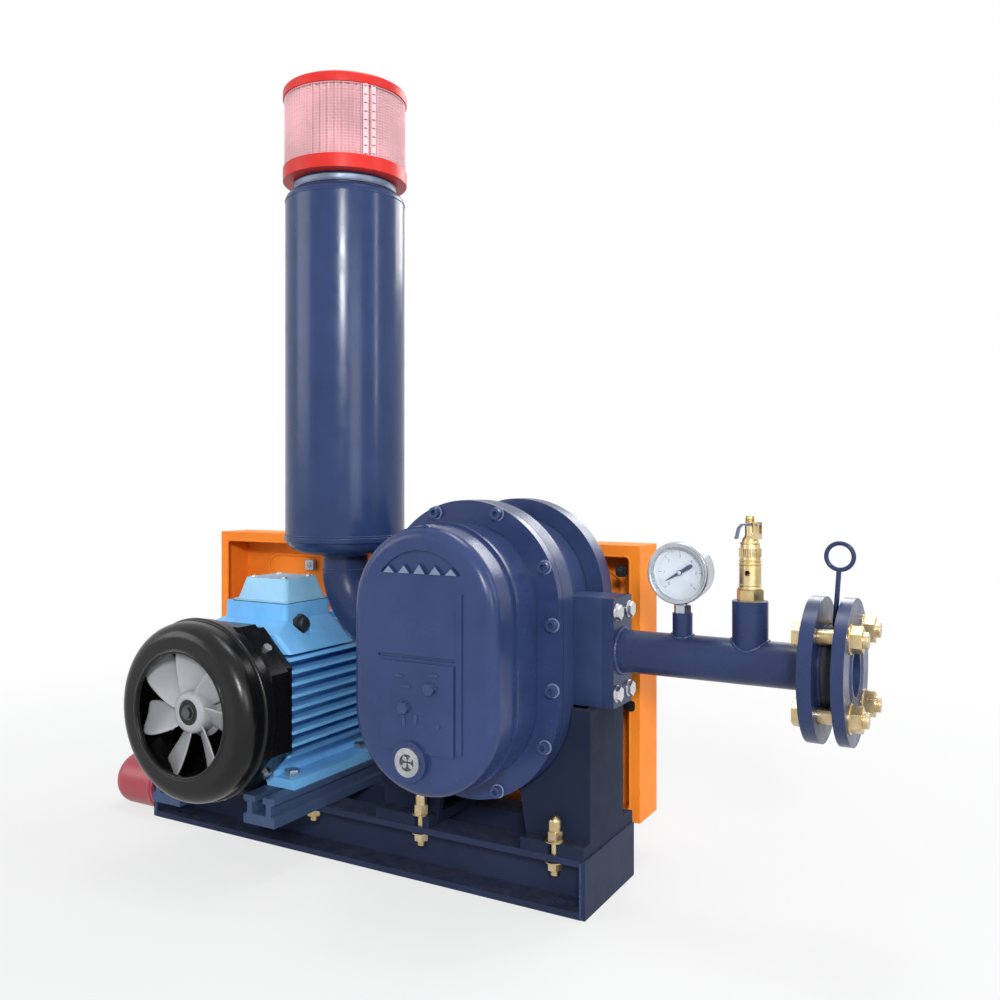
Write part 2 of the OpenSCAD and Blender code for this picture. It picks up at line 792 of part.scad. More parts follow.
module rotor_casing() {
  color(navy) difference() {
    union() {
      twin_block(casing_r, casing_y, casing_l);
      translate([inlet_x, port_y - port_w / 2, bz - port_h / 2]) cube([port_x - inlet_x, port_w, port_h]);
      for (k = [1:3]) translate([bx - 6, casing_y + casing_l * k / 4 - 3, bz]) cube([12, 6, rotor_cc / 2 + plate_r - 3]);
    }
    for (z = [low_z, high_z]) along_y(bx, casing_y - 1, z) cylinder(r = bore_r, h = casing_l + 2);
    along_x(inlet_x - 1, port_y, bz) cylinder(r = pipe_in, h = port_x - inlet_x + 2);
    for (s = [-1, 1]) for (p = port_studs) along_x(s > 0 ? port_x - 20 : inlet_x - 1, port_y + p[0], bz + p[1])
      cylinder(r = 5, h = 21);
  }
}
port_studs = [for (sy = [-1, 1]) for (sz = [-1, 1]) [sy * (port_w / 2 - 9), sz * (port_h / 2 - 16)]];

module bearing_cover() {
  color(navy) {
    along_y(bx, drive_end, low_z) ring(bearing_r + 10, shaft_r + 1, 10);
    along_y(bx, drive_end, high_z) rotate_extrude() edge_section(bearing_r + 10, 12, 1);
  }
}

module rotor_bearings() {
  color(steel) for (z = [low_z, high_z]) {
    along_y(bx, plate_y, z) ring(bearing_r - fit, shaft_r + fit, bearing_w);
    along_y(bx, drive_end - bearing_w, z) ring(bearing_r - fit, shaft_r + fit, bearing_w);
  }
}

module shaft_seals() {
  color("#202020") for (z = [low_z, high_z]) {
    along_y(bx, plate_y + bearing_w + 1, z) ring(bearing_r - 6 - fit, shaft_r + fit, seal_w);
    along_y(bx, drive_end - bearing_w - 1 - seal_w, z) ring(bearing_r - 6 - fit, shaft_r + fit, seal_w);
  }
}

// Cap screws round the flange, and the two hexagon plugs in the oil holes
module cover_screws() {
  color(navy) for (p = cover_bolts)
    along_y(bx + p[0], plate_y - cover_flange, bz + p[1]) cap_screw(8, cover_flange + 10);
  color("#3a4568") for (p = plug_points) along_y(p[0], cover_y - 2.5, p[1]) {
    cylinder(r = 6, h = 10);
    mirror([0, 0, 1]) hex(12, 5);
  }
}

module blower_bolts() {
  color(steel) {
    for (s = [-1, 1]) for (p = port_studs) translate([s > 0 ? plate_x : inlet_x - port_plate, port_y + p[0], bz + p[1]])
      rotate([0, s * 90, 0]) screw(9, port_plate + 14);
    for (a = [0:90:270]) for (z = [low_z, high_z]) along_y(bx + (bearing_r + 5) * cos(a + 45),
      drive_end + (z == low_z ? 10 : 12), z + (bearing_r + 5) * sin(a + 45)) hex(8, 4);
  }
}

// Cast legs that stand on the base and carry both end plates
leg_in = 62;
leg_out = 141;
leg_web = 10;
module blower_legs() {
  top = bz - port_h / 2;
  color(navy) for (s = [-1, 1]) translate([bx, 0, 0]) mirror([s > 0 ? 0 : 1, 0, 0]) difference() {
    union() {
      // Body, then the foot flange that reaches both base channels
      translate([0, leg_y2, 0]) rotate([90, 0, 0]) linear_extrude(leg_y2 - leg_y1)
        polygon([[leg_in, base_h], [leg_out, base_h], [leg_out, top], [plate_r - 30, top], [leg_in - 10, base_h + 60]]);
      translate([leg_in, front_y, base_h]) cube([leg_out - leg_in, base_d, leg_foot]);
    }
    translate([-bx, 0, 0]) {
      twin_block(casing_r + gap, casing_y - 60, casing_l + 120);
      twin_block(plate_r + gap, casing_y - 60, 60);
      twin_block(plate_r + gap, drive_y, 60);
    }
    // Core opening between the webs
    translate([leg_in - 20, leg_y1 + leg_web, base_h + leg_foot]) cube([leg_out - leg_in + 20 - leg_web, leg_y2 - leg_y1 - 2 * leg_web, top]);
    // Open slots for the hold-down studs
    for (y = [front_y + stud_edge, back_y - stud_edge]) {
      x = abs(leg_studs[s > 0 ? 1 : 0]);
      translate([x, y, base_h - 1]) cylinder(r = stud_r + 1, h = leg_foot + 2);
      translate([x - stud_r - 1, y < 0 ? y - 20 : y, base_h - 1]) cube([2 * stud_r + 2, 20, leg_foot + 2]);
    }
  }
}
leg_y1 = casing_y - 6;
leg_y2 = drive_y + 6;

// ---- intake

// Pipe bend from straight down to straight along +X
module inlet_elbow() {
  ro = elbow_d / 2;
  ri = ro - elbow_wall;
  color(navy) {
    translate([tower_x + elbow_r, port_y, neck_z]) rotate([90, 0, 0]) rotate([0, 0, 180])
      rotate_extrude(angle = 90) translate([elbow_r, 0]) difference() {
        circle(ro);
        circle(ri);
      }
    translate([tower_x, port_y, neck_z]) ring(ro, ri, tower_z - dish_h + 10 - neck_z);
    along_x(tower_x + elbow_r, port_y, bz) ring(ro, ri, stub_run + 1);
    difference() {
      translate([inlet_x - port_plate, port_y - port_w / 2, bz - port_h / 2]) cube([port_plate, port_w, port_h]);
      along_x(inlet_x - port_plate - 1, port_y, bz) cylinder(r = ri, h = port_plate + 2);
      for (p = port_studs) along_x(inlet_x - port_plate - 1, port_y + p[0], bz + p[1]) cylinder(r = 5, h = port_plate + 2);
    }
  }
}

module silencer_shell() {
  color(navy) translate([tower_x, port_y, 0]) difference() {
    rotate_extrude() polygon(concat(
      [[elbow_or, tower_z - dish_h]],
      [for (a = [0:15:90]) [elbow_or + 10 + (tower_r - elbow_or - 12) * sin(a), tower_z - dish_h * cos(a)]],
      [[tower_r + 1.5, tower_z], [tower_r + 1.5, tower_z + 6], [tower_r, tower_z + 8]],
      [for (a = [0:15:90]) [tower_r - 12 + 12 * cos(a), tower_top - 12 + 12 * sin(a)]],
      [[tower_r - 9 - 4, tower_top], [tower_r - 13, filter_z], [tower_r - 16, filter_z],
       [tower_r - 16, tower_top - 3], [tower_r - 16, tower_top - 4]],
      [for (a = [75:-15:0]) [tower_r - 14 + 11.5 * cos(a), tower_top - 14 + 11.5 * sin(a)]],
      [[tower_r - 2.5, tower_z + 4]],
      [for (a = [75:-15:0]) [elbow_or + 10 + (tower_r - elbow_or - 14) * sin(a), tower_z + 3 - dish_h * cos(a)]],
      [[elbow_or, tower_z + 3 - dish_h]]));
  }
}

core_r = 34;
module silencer_core() {
  color("#9a9da3") translate([tower_x, port_y, 0]) {
    translate([0, 0, tower_z - dish_h + 7]) ring(core_r, core_r - 1.5, tower_l);
    for (k = [0.25, 0.75]) translate([0, 0, tower_z + tower_l * k]) ring(tower_r - 3, core_r + fit, 3);
  }
}

cap_bot = 18;
cap_top = 14;
module filter_element() {
  z1 = filter_z + cap_bot * 0.5;
  z2 = filter_z + filter_l - cap_top * 0.5;
  color("#e79aa8") translate([tower_x, port_y, z1]) difference() {
    linear_extrude(z2 - z1) polygon([for (i = [0:2 * pleats - 1]) let (r = i % 2 == 0 ? filter_r - 4 : filter_r - 9, a = 180 * i / pleats)
      [r * cos(a), r * sin(a)]]);
    translate([0, 0, -1]) cylinder(r = filter_r - 34, h = z2 - z1 + 2);
  }
}

module filter_caps() {
  color("#e23a34") translate([tower_x, port_y, 0]) {
    translate([0, 0, filter_z]) difference() {
      cylinder(r = filter_r, h = cap_bot);
      translate([0, 0, -1]) cylinder(r = tower_r - 17, h = cap_bot + 2);
      translate([0, 0, cap_bot * 0.5]) cylinder(r = filter_r - 3.5, h = cap_bot);
    }
    translate([0, 0, filter_z + filter_l - cap_top]) difference() {
      rotate_extrude() edge_section(filter_r, cap_top, 5);
      translate([0, 0, -1]) cylinder(r = filter_r - 3.5, h = cap_top * 0.5 + 1);
    }
  }
}

// ---- outlet

module outlet_pipe() {
  color(navy) difference() {
    union() {
      translate([port_x, port_y - port_w / 2, bz - port_h / 2]) cube([port_plate, port_w, port_h]);
      along_x(port_x + 1, port_y, bz) cylinder(r = pipe_r, h = flange_x + flange_t - 3 - port_x - 1);
      translate([gauge_x, port_y, bz]) cylinder(r = 11, h = pipe_r + 24);
      translate([relief_x, port_y, bz]) cylinder(r = socket_r, h = socket_z - bz);
    }
    along_x(port_x - 1, port_y, bz) cylinder(r = pipe_in, h = pipe_l + port_plate + flange_t + 2);
    translate([gauge_x, port_y, bz]) cylinder(r = 7 + fit, h = 80);
    translate([relief_x, port_y, bz]) cylinder(r = 12 + fit, h = 90);
    for (p = port_studs) along_x(port_x - 1, port_y + p[0], bz + p[1]) cylinder(r = 5, h = port_plate + 2);
  }
}

bolt_spots = [for (a = [45:90:315]) [flange_pcd / 2 * cos(a), flange_pcd / 2 * sin(a)]];
module flange_holes(x, t) {
  for (p = bolt_spots) along_x(x - 1, port_y + p[0], bz + p[1]) cylinder(d = flange_bolt_d + 2, h = t + 2);
}

module pipe_flange() {
  color(navy) difference() {
    along_x(flange_x, port_y, bz) difference() {
      union() {
        cylinder(d = flange_d, h = flange_t - 2);
        cylinder(r = valve_r, h = flange_t);
        translate([0, 0, -6]) cylinder(r = pipe_r + 9, h = 8);
      }
      translate([0, 0, -8]) cylinder(r = pipe_r + fit, h = flange_t + 10);
    }
    flange_holes(flange_x, flange_t);
  }
}

module end_flange() {
  color(navy) difference() {
    along_x(end_x, port_y, bz) difference() {
      union() {
        translate([0, 0, 2]) cylinder(d = flange_d, h = end_flange_t - 2);
        cylinder(r = valve_r, h = end_flange_t);
      }
      translate([0, 0, -1]) cylinder(r = end_bore_r, h = end_flange_t + 2);
    }
    flange_holes(end_x, end_flange_t);
  }
}

module flange_gaskets() {
  color("#3a3a3c") for (x = [valve_x - gasket_t, valve_x + valve_t])
    along_x(x, port_y, bz) ring(valve_r - 1, pipe_in + 5, gasket_t);
}

flap_r = 17;
flap_t = 3;
seat_x = valve_x + 2;
flap_x = seat_x + gap;
hinge_x = flap_x + 3.4;
hinge_z = bz + flap_r + 2.5;
pin_r = 1.5;
module valve_body() {
  color("#6d7178") difference() {
    along_x(valve_x, port_y, bz) cylinder(r = valve_r, h = valve_t);
    along_x(valve_x - 1, port_y, bz) cylinder(r = flap_r - 3, h = 4);
    along_x(seat_x, port_y, bz) cylinder(r = flap_r + 3, h = valve_t);
    // Pocket for the hinge lug, and the pin's cross hole
    translate([seat_x, port_y - 8, bz + flap_r - 6]) cube([valve_t, 16, 14]);
    along_y(hinge_x, port_y - 20, hinge_z) cylinder(r = pin_r + fit, h = 40);
    translate([eye_x, port_y, bz + valve_r - 14]) cylinder(r = 2.5 + fit, h = 20);
  }
}

module valve_flap() {
  color("#9fa3aa") difference() {
    union() {
      along_x(flap_x, port_y, bz) cylinder(r = flap_r - 0.5, h = flap_t);
      translate([flap_x + 0.5, port_y - 6, bz + flap_r - 6]) cube([4, 12, 7]);
      along_y(hinge_x, port_y - 6, hinge_z) cylinder(r = 2.8, h = 12);
    }
    along_y(hinge_x, port_y - 10, hinge_z) cylinder(r = pin_r + fit, h = 20);
  }
}

module flap_pin() {
  color(steel) along_y(hinge_x, port_y - 19, hinge_z) cylinder(r = pin_r, h = 38);
}

eye_x = valve_x + valve_t / 2;
eye_z = bz + 117;
eye_r = 13.5;
eye_lean = 4;
module valve_eye() {
  foot = bz + valve_r;
  color(navy) {
    translate([eye_x, port_y, foot - 12]) cylinder(r = 2.5, h = 14);
    translate([eye_x, port_y, foot]) rotate([0, eye_lean, 0]) {
      cylinder(r = 2.5, h = eye_z - foot - eye_r);
      translate([0, 0, eye_z - foot]) rotate([90, 0, 0]) rotate_extrude() translate([eye_r, 0]) circle(2.3);
    }
  }
}

module flange_bolts() {
  span = end_face - flange_x;
  color(zinc) for (p = bolt_spots) {
    translate([flange_x, port_y + p[0], bz + p[1]]) rotate([0, -90, 0]) hex(24, 10);
    along_x(flange_x - 1, port_y + p[0], bz + p[1]) cylinder(d = flange_bolt_d, h = span + 19);
    along_x(end_face, port_y + p[0], bz + p[1]) hex(24, 13);
  }
}

// ---- gauge and relief valve

gauge_depth = 28;
gauge_front = port_y - gauge_depth / 2;
module gauge_nipple() {
  z = bz + pipe_r + 24;
  color("#b9bdc3") translate([gauge_x, port_y, 0]) {
    translate([0, 0, z - 18]) cylinder(r = 7, h = 20);
    translate([0, 0, z]) hex(17, 9);
    translate([0, 0, z + 8]) cylinder(r = 6.5, h = 8);
  }
}

// Case with the movement block that carries the dial and the needle's spindle
module gauge_case() {
  color("#c3c8ce") along_y(gauge_x, gauge_front, gauge_z) difference() {
    union() {
      difference() {
        cylinder(r = gauge_r - 2, h = gauge_depth);
        translate([0, 0, -1]) cylinder(r = gauge_r - 4, h = gauge_depth - 2);
      }
      translate([0, 0, dial_y + 1.5]) cylinder(r = 12, h = gauge_depth - 4 - dial_y);
    }
    cylinder(r = spindle_r + fit, h = 16);
    translate([0, -gauge_r + 6, gauge_depth / 2]) rotate([90, 0, 0]) cylinder(r = 6.5 + fit, h = 20);
  }
}
dial_y = 6;
spindle_r = 1.9;

// Bezel pressed over the case, holding the lens against its rim
module gauge_bezel() {
  color("#e2e5e8") along_y(gauge_x, gauge_front + 6, gauge_z) mirror([0, 0, 1]) difference() {
    rotate_extrude() edge_section(gauge_r, 11, 3);
    translate([0, 0, -1]) cylinder(r = gauge_r - 2 + fit, h = 7);
    translate([0, 0, 5]) cylinder(r = gauge_r - 3 + fit, h = 3);
    translate([0, 0, -1]) cylinder(r = gauge_r - 5, h = 20);
  }
}

module gauge_dial() {
  color("#f6f8fa") along_y(gauge_x, gauge_front + dial_y, gauge_z) ring(gauge_r - 4 - fit, spindle_r + 0.3, 1.5);
}

module gauge_lens() {
  color("#dfeef6", 0.35) along_y(gauge_x, gauge_front - 2, gauge_z) cylinder(r = gauge_r - 3, h = 2);
}

module gauge_needle() {
  color("#22335c") along_y(gauge_x, gauge_front + 2.8, gauge_z) {
    rotate(needle_rest) linear_extrude(1)
      polygon([[18, -0.4], [18, 0.4], [0, 1.6], [-13, 2.4], [-17, 1.4], [-17, -1.4], [-13, -2.4], [0, -1.6]]);
    cylinder(r = 3, h = 2.4);
    cylinder(r = spindle_r, h = 12);
  }
}

// Brass relief valve: hollow body, spring-loaded stem and easing lever
relief_top = socket_z + 80;
stem_seat = socket_z - 10;
lift = 3;
ear_x = 8;
ear_z = 1.3;
module relief_body() {
  color(zinc) translate([relief_x, port_y, socket_z]) difference() {
    union() {
      translate([0, 0, -16]) cylinder(r = 12, h = 18);
      hex(25, 12);
      rotate_extrude() polygon([[0, 0], [12.5, 0], [12.5, 12], [11.6, 15], [11.4, 36], [10, 60], [8, 66], [5.5, 70], [5.5, 80], [0, 80]]);
      for (s = [-1, 1]) translate([ear_x - 3, s > 0 ? 5.1 : -6.9, 67]) cube([6, 1.8, 17]);
      translate([ear_x - 5, -6.9, 66]) cube([8, 13.8, 6]);
    }
    translate([0, 0, -17]) cylinder(r = 6, h = 10);
    translate([0, 0, -10]) cylinder(r = 8.2, h = 66);
    translate([0, 0, 50]) cylinder(r = 2.5 + fit, h = 40);
    for (a = [0, 180]) rotate(a + 90) translate([0, 0, 30]) rotate([0, 90, 0]) cylinder(r = 3, h = 20);
    translate([ear_x, -10, 80 + ear_z]) rotate([-90, 0, 0]) cylinder(r = 1.2 + fit, h = 20);
  }
}

module relief_stem() {
  color("#c9b56a") translate([relief_x, port_y, 0]) {
    translate([0, 0, stem_seat + gap]) cylinder(r = 8, h = 5);
    translate([0, 0, stem_seat + 1]) cylinder(r = 2.5, h = relief_top - stem_seat + 2.5);
    translate([0, 0, relief_top + 3]) cylinder(r = 5.2, h = 2);
    translate([0, 0, relief_top + 5]) cylinder(r = 4.5, h = 6);
  }
}

spring_z1 = stem_seat + 5.3;
spring_z2 = socket_z + 56;
spring_turns = 7;
module relief_spring() {
  n = 10;
  steps = spring_turns * n;
  wire = 1.1;
  color(steel) translate([relief_x, port_y, 0]) {
    for (z = [spring_z1, spring_z2 - 2 * wire]) translate([0, 0, z]) ring(7.2, 4.4, 2 * wire);
    spring_coil(5.8, wire, spring_z1 + wire, spring_z2 - wire, steps, n);
  }
}

// Wire swept round a helix, six-sided, as one closed surface
module spring_coil(r, w, z1, z2, steps, n) {
  m = 6;
  pts = [for (i = [0:steps]) let (a = 360 * i / n, z = z1 + (z2 - z1) * i / steps)
    for (k = [0:m - 1]) let (q = r + w * cos(360 * k / m)) [q * cos(a), q * sin(a), z + w * sin(360 * k / m)]];
  sides = [for (i = [0:steps - 1]) for (k = [0:m - 1])
    [i * m + (k + 1) % m, (i + 1) * m + (k + 1) % m, (i + 1) * m + k, i * m + k]];
  polyhedron(pts, concat(sides, [[for (k = [m - 1:-1:0]) k]], [[for (k = [0:m - 1]) steps * m + k]]));
}

// Forked easing lever: hinged on the right, straddling the stem under its collar
module relief_lever() {
  color("#5b6478") translate([relief_x, port_y, relief_top]) {
    difference() {
      rotate([90, 0, 0]) translate([0, 0, -4.8]) linear_extrude(9.6) {
        polygon([[ear_x, 0.4], [ear_x, 2.2], [-9, 2.2], [-13, -2], [-16, -14], [-14, -14.5], [-11.4, -3], [-8.4, 0.4]]);
        translate([ear_x, ear_z]) circle(1.9);
      }
      translate([-6, -3, -20]) cube([20, 6, 40]);
    }
    translate([ear_x, -7.2, ear_z]) rotate([-90, 0, 0]) cylinder(r = 1.2, h = 14.4);
  }
}

// ---- belt drive

// Half section of a V groove pulley between its two faces
module pulley_section(r) {
  rim = r + 5;
  difference() {
    square([rim, pulley_w]);
    for (i = [0:belts - 1]) translate([r, pulley_w / 2 + (i - (belts - 1) / 2) * groove_pitch])
      polygon([[6, -belt_top - 1.8], [6, belt_top + 1.8], [-9, belt_bot + 0.1], [-9, -belt_bot - 0.1]]);
  }
}

module pulley(r, hole) {
  difference() {
    rotate_extrude() pulley_section(r);
    translate([0, 0, -1]) cylinder(r = hole, h = pulley_w + 2);
  }
}

module blower_pulley() {
  color("#55585e") along_y(bx, pulley_y, low_z) pulley(blower_pulley_d / 2, shaft_r + fit);
}

// Each belt is one closed loop: wide outside, narrow inside, swept round both pulleys
belt_section = [[belt_up, -belt_top], [belt_up, belt_top], [-belt_down, belt_bot], [-belt_down, -belt_bot]];
module v_belts() {
  dx = bx - motor_x;
  dz = low_z - motor_z;
  d = norm([dx, dz]);
  ra = motor_pulley_d / 2;
  rb = blower_pulley_d / 2;
  th = acos((ra - rb) / d);
  n = 40;
  path = concat([for (i = [0:n]) let (a = th + (360 - 2 * th) * i / n) [0, ra, a]],
    [for (i = [0:n]) let (a = -th + 2 * th * i / n) [d, rb, a]]);
  pts = [for (q = path) for (c = belt_section) [q[0] + (q[1] + c[0]) * cos(q[2]), (q[1] + c[0]) * sin(q[2]), c[1]]];
  m = len(path);
  faces = [for (i = [0:m - 1]) for (k = [0:3]) let (j = (i + 1) % m, l = (k + 1) % 4)
    [4 * i + k, 4 * i + l, 4 * j + l, 4 * j + k]];
  color("#26272a") for (i = [0:belts - 1])
    along_y(motor_x, pulley_mid + (i - (belts - 1) / 2) * groove_pitch, motor_z) rotate(atan2(dz, dx))
      polyhedron(pts, faces);
}

// Tray of bent sheet, open towards the machine, on two brackets
module belt_guard() {
  w = guard_x2 - guard_x1;
  color("#f0792a") {
    difference() {
      translate([guard_x1, guard_y, guard_z]) cube([w, guard_d, guard_h]);
      translate([guard_x1 + guard_t, guard_y + guard_t, guard_z + guard_t])
        cube([w - 2 * guard_t, guard_d - 2 * guard_t, guard_h - 2 * guard_t]);
      translate([guard_x1 + guard_lip, guard_y - 1, guard_z + guard_lip])
        cube([w - 2 * guard_lip, guard_t + 2, guard_h - 2 * guard_lip]);
    }
    for (x = [guard_x1 + 120, guard_x2 - 150]) translate([x, back_y, 0]) {
      translate([0, 0, 2]) cube([50, 4, base_h - 4]);
      translate([0, 0, guard_z - 4]) cube([50, guard_back - back_y - 6, 4]);
    }
  }
}

front_channel();
rear_channel();
end_members();
end_cap();
slide_rails();
motor_housing();
motor_rear_shield();
motor_front_shield();
fan_cowl();
terminal_box();
terminal_box_lid();
cable_gland();
stator_core();
motor_bearings();
motor_bolts();
gear_cover();
gear_plate();
rotor_casing();
drive_plate();
bearing_cover();
rotor_bearings();
shaft_seals();
sight_glass();
cover_screws();
blower_bolts();
blower_legs();
base_bolts();
inlet_elbow();
silencer_shell();
silencer_core();
filter_element();
filter_caps();
outlet_pipe();
pipe_flange();
valve_body();
valve_flap();
flap_pin();
valve_eye();
end_flange();
flange_bolts();
flange_gaskets();
gauge_case();
gauge_bezel();
gauge_dial();
gauge_needle();
gauge_lens();
gauge_nipple();
relief_body();
relief_stem();
relief_spring();
relief_lever();
belt_guard();
v_belts();
drive_rotor();
drive_gear();
blower_pulley();
driven_rotor();
driven_gear();
motor_shaft();
cooling_fan();
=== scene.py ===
"""Looks of a belt-driven twin-lobe air blower on a channel base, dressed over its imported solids."""
import json
import math

import bmesh
import bpy
from mathutils import Matrix, Vector


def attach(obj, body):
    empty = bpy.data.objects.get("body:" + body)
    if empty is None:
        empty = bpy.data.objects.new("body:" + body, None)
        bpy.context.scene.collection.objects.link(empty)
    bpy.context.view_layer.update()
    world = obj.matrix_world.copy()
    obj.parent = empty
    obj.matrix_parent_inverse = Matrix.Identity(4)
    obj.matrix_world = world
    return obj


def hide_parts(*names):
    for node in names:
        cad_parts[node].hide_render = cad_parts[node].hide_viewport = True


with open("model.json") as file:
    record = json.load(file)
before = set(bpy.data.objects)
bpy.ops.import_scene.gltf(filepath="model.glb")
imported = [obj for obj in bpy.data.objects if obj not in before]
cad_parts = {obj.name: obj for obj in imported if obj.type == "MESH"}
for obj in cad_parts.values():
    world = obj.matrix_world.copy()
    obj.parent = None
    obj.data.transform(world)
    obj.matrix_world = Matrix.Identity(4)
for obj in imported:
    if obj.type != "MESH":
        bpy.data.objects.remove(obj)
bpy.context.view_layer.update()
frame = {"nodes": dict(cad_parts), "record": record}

MM = 0.001

# Stations of the machine, in millimetres, as the solids have them
BLOWER_X, BLOWER_Z = 197.0, 288.0
LOW_Z, HIGH_Z = 234.0, 342.0
COVER_Y, PLATE_Y, CASING_Y, DRIVE_Y = -182.5, -74.5, -48.5, 36.5
PLATE_R, CASING_R, SCREW_RING = 118.0, 96.0, 111.0
FLANGE_Y = COVER_Y + 94.9
PORT_Y, PORT_PLATE_X, INLET_X = -6.0, 357.0, 61.0
PIPE_R, FLANGE_X, END_FACE = 24.15, 567.0, 611.0
MOTOR_X, MOTOR_Z, COWL_FRONT, FRAME_BACK = -130.0, 200.0, -216.5, 55.5
LID_X, LID_Y, LID_TOP, LID_JOINT = -124.0, -43.0, 352.8, 321.5
BASE_END, STUB_Y, STUB_Z = -340.0, -40.0, 38.0
CHANNEL_TOP, STUD_TIP = 55.9, 47.6
LEG_STUDS_X, LEG_STUDS_Y = (120.0, 300.0), (-65.5, 65.5)
RAIL_STUDS_X, RAIL_STUDS_Y = (-210.0, -50.0), (-62.5, 58.5)
TOWER_X, TOWER_R = -44.2, 79.5
TOWER_Z, TOWER_TOP, FILTER_Z, FILTER_TOP = 402.2, 866.2, 880.2, 1003.2
FILTER_R = 82.5
GAUGE_X, GAUGE_Z, GAUGE_FRONT = 428.0, 381.15, -20.0
RELIEF_X, SOCKET_Z, RELIEF_TOP = 503.0, 354.0, 434.0
GUARD_Y, GUARD_BACK = 97.0, 157.0
GUARD_LEFT, GUARD_RIGHT, GUARD_LOW, GUARD_HIGH = -380.0, 338.0, 54.0, 401.0
SEAM_TURN, SEAM_HALF = -29.0, 4.0


# ---------------------------------------------------------------- shader kit
class Value:
    """A socket that takes part in plain arithmetic."""

    def __init__(self, finish, socket):
        self.finish, self.socket = finish, socket

    def _math(self, operation, a, b=0.0):
        return self.finish.node("ShaderNodeMath", {"operation": operation}, {0: a, 1: b})

    def __add__(self, other):
        return self._math("ADD", self, other)

    def __radd__(self, other):
        return self._math("ADD", other, self)

    def __mul__(self, other):
        return self._math("MULTIPLY", self, other)

    def __rmul__(self, other):
        return self._math("MULTIPLY", other, self)

    def clip(self):
        return self.finish.node("ShaderNodeClamp", {}, {"Value": self})


class Finish:
    """One material, with one method that adds any node."""

    def __init__(self, name):
        self.material = bpy.data.materials.new(name)
        self.material.use_nodes = True
        self.tree = self.material.node_tree
        self.surface = self.tree.nodes["Principled BSDF"]
        self.place = self.node("ShaderNodeTexCoord", {}, {}, "Object")
        self.normal = self.node("ShaderNodeNewGeometry", {}, {}, "Normal")

    def node(self, kind, settings, sockets, out=0):
        made = self.tree.nodes.new(kind)
        for key, value in settings.items():
            setattr(made, key, value)
        for key, value in sockets.items():
            self.join(made.inputs[key], value)
        return Value(self, made.outputs[out])

    def join(self, socket, value):
        if isinstance(value, Value):
            self.tree.links.new(value.socket, socket)
        elif isinstance(value, (tuple, list)) and len(value) == 3 and socket.type == "RGBA":
            socket.default_value = (*value, 1.0)
        else:
            socket.default_value = value

    def put(self, **sockets):
        for key, value in sockets.items():
            self.join(self.surface.inputs[key.replace("_", " ")], value)
        return self

    def noise(self, scale, detail=3.0, rough=0.5, place=None):
        return self.node("ShaderNodeTexNoise", {}, {"Vector": place or self.place, "Scale": scale,
                                                    "Detail": detail, "Roughness": rough}, 0)

    def stretched(self, scale, detail, stretch):
        place = self.node("ShaderNodeMapping", {}, {"Vector": self.place, "Scale": stretch})
        return self.noise(scale, detail, 0.55, place)

    def spread(self, value, low, high, to_low=0.0, to_high=1.0):
        return self.node("ShaderNodeMapRange", {"clamp": True}, {"Value": value, "From Min": low,
                         "From Max": high, "To Min": to_low, "To Max": to_high})

    def mix(self, factor, a, b, blend="MIX"):
        return self.node("ShaderNodeMix", {"data_type": "RGBA", "blend_type": blend},
                         {0: factor, 6: a, 7: b}, 2)

    def bump(self, height, strength, distance):
        return self.node("ShaderNodeBump", {}, {"Height": height, "Strength": strength, "Distance": distance})

    def facing_up(self):
        return self.node("ShaderNodeVectorMath", {"operation": "DOT_PRODUCT"},
                         {0: self.normal, 1: (0.0, 0.0, 1.0)}, "Value")


def shade(colour, factor):
    return tuple(min(1.0, c * factor) for c in colour)


FINISHES = {}


def keep(name, finish):
    FINISHES[name] = finish.material
    return finish.material


def enamel(name, colour, gloss=0.26, peel=0.14, grain=0.0, chips=0.3, dust=0.25, level=0.26, pool=0.0,
           grime_share=0.26, chip_colour=(0.10, 0.10, 0.11)):
    """Sprayed enamel: orange peel, cloudy tone, pooled paint, dust on what faces up and a little wear."""
    f = Finish(name)
    cloud = f.noise(7.0, 4.0, 0.55)
    mottle = f.noise(38.0, 3.0, 0.6)
    tone = f.spread(cloud * 0.75 + mottle * 0.25, 0.34, 0.66)
    base = f.mix(tone, shade(colour, 0.84), shade(colour, 1.14))
    grime = f.spread(f.noise(17.0, 6.0, 0.62), 0.52, 0.74)
    base = f.mix(grime * grime_share, base, shade(colour, 0.5))
    up = f.spread(f.facing_up(), 0.5, 0.98) * f.spread(f.noise(60.0, 5.0, 0.7), 0.38, 0.72)
    base = f.mix(up * dust * 0.3, base, (0.34, 0.33, 0.32))
    if pool:
        runs = f.spread(f.stretched(30.0, 3.0, (1.0, 1.0, 0.16)), 0.5, 0.72)
        base = f.mix(runs * pool, base, shade(colour, 1.5))
    specks = f.noise(300.0, 2.0, 0.5)
    nicks = f.spread(f.noise(90.0, 4.0, 0.72), 0.74, 0.765) * f.spread(specks, 0.4, 0.6)
    base = f.mix(nicks * chips, base, chip_colour)
    rough = gloss + f.spread(mottle, 0.35, 0.7, 0.0, 0.09) + up * 0.14 * dust + grime * 0.06
    height = f.noise(420.0, 2.0, 0.5) * peel + f.noise(120.0, 2.0, 0.4) * (peel * 0.6)
    if grain:
        height = height + f.noise(880.0, 4.0, 0.7) * grain + f.noise(55.0, 3.0, 0.5) * (grain * 0.9)
    f.put(Base_Color=base, Roughness=rough, Normal=f.bump(height, 0.32, 0.0006))
    f.put(IOR=1.5, Specular_IOR_Level=level)
    return keep(name, f)


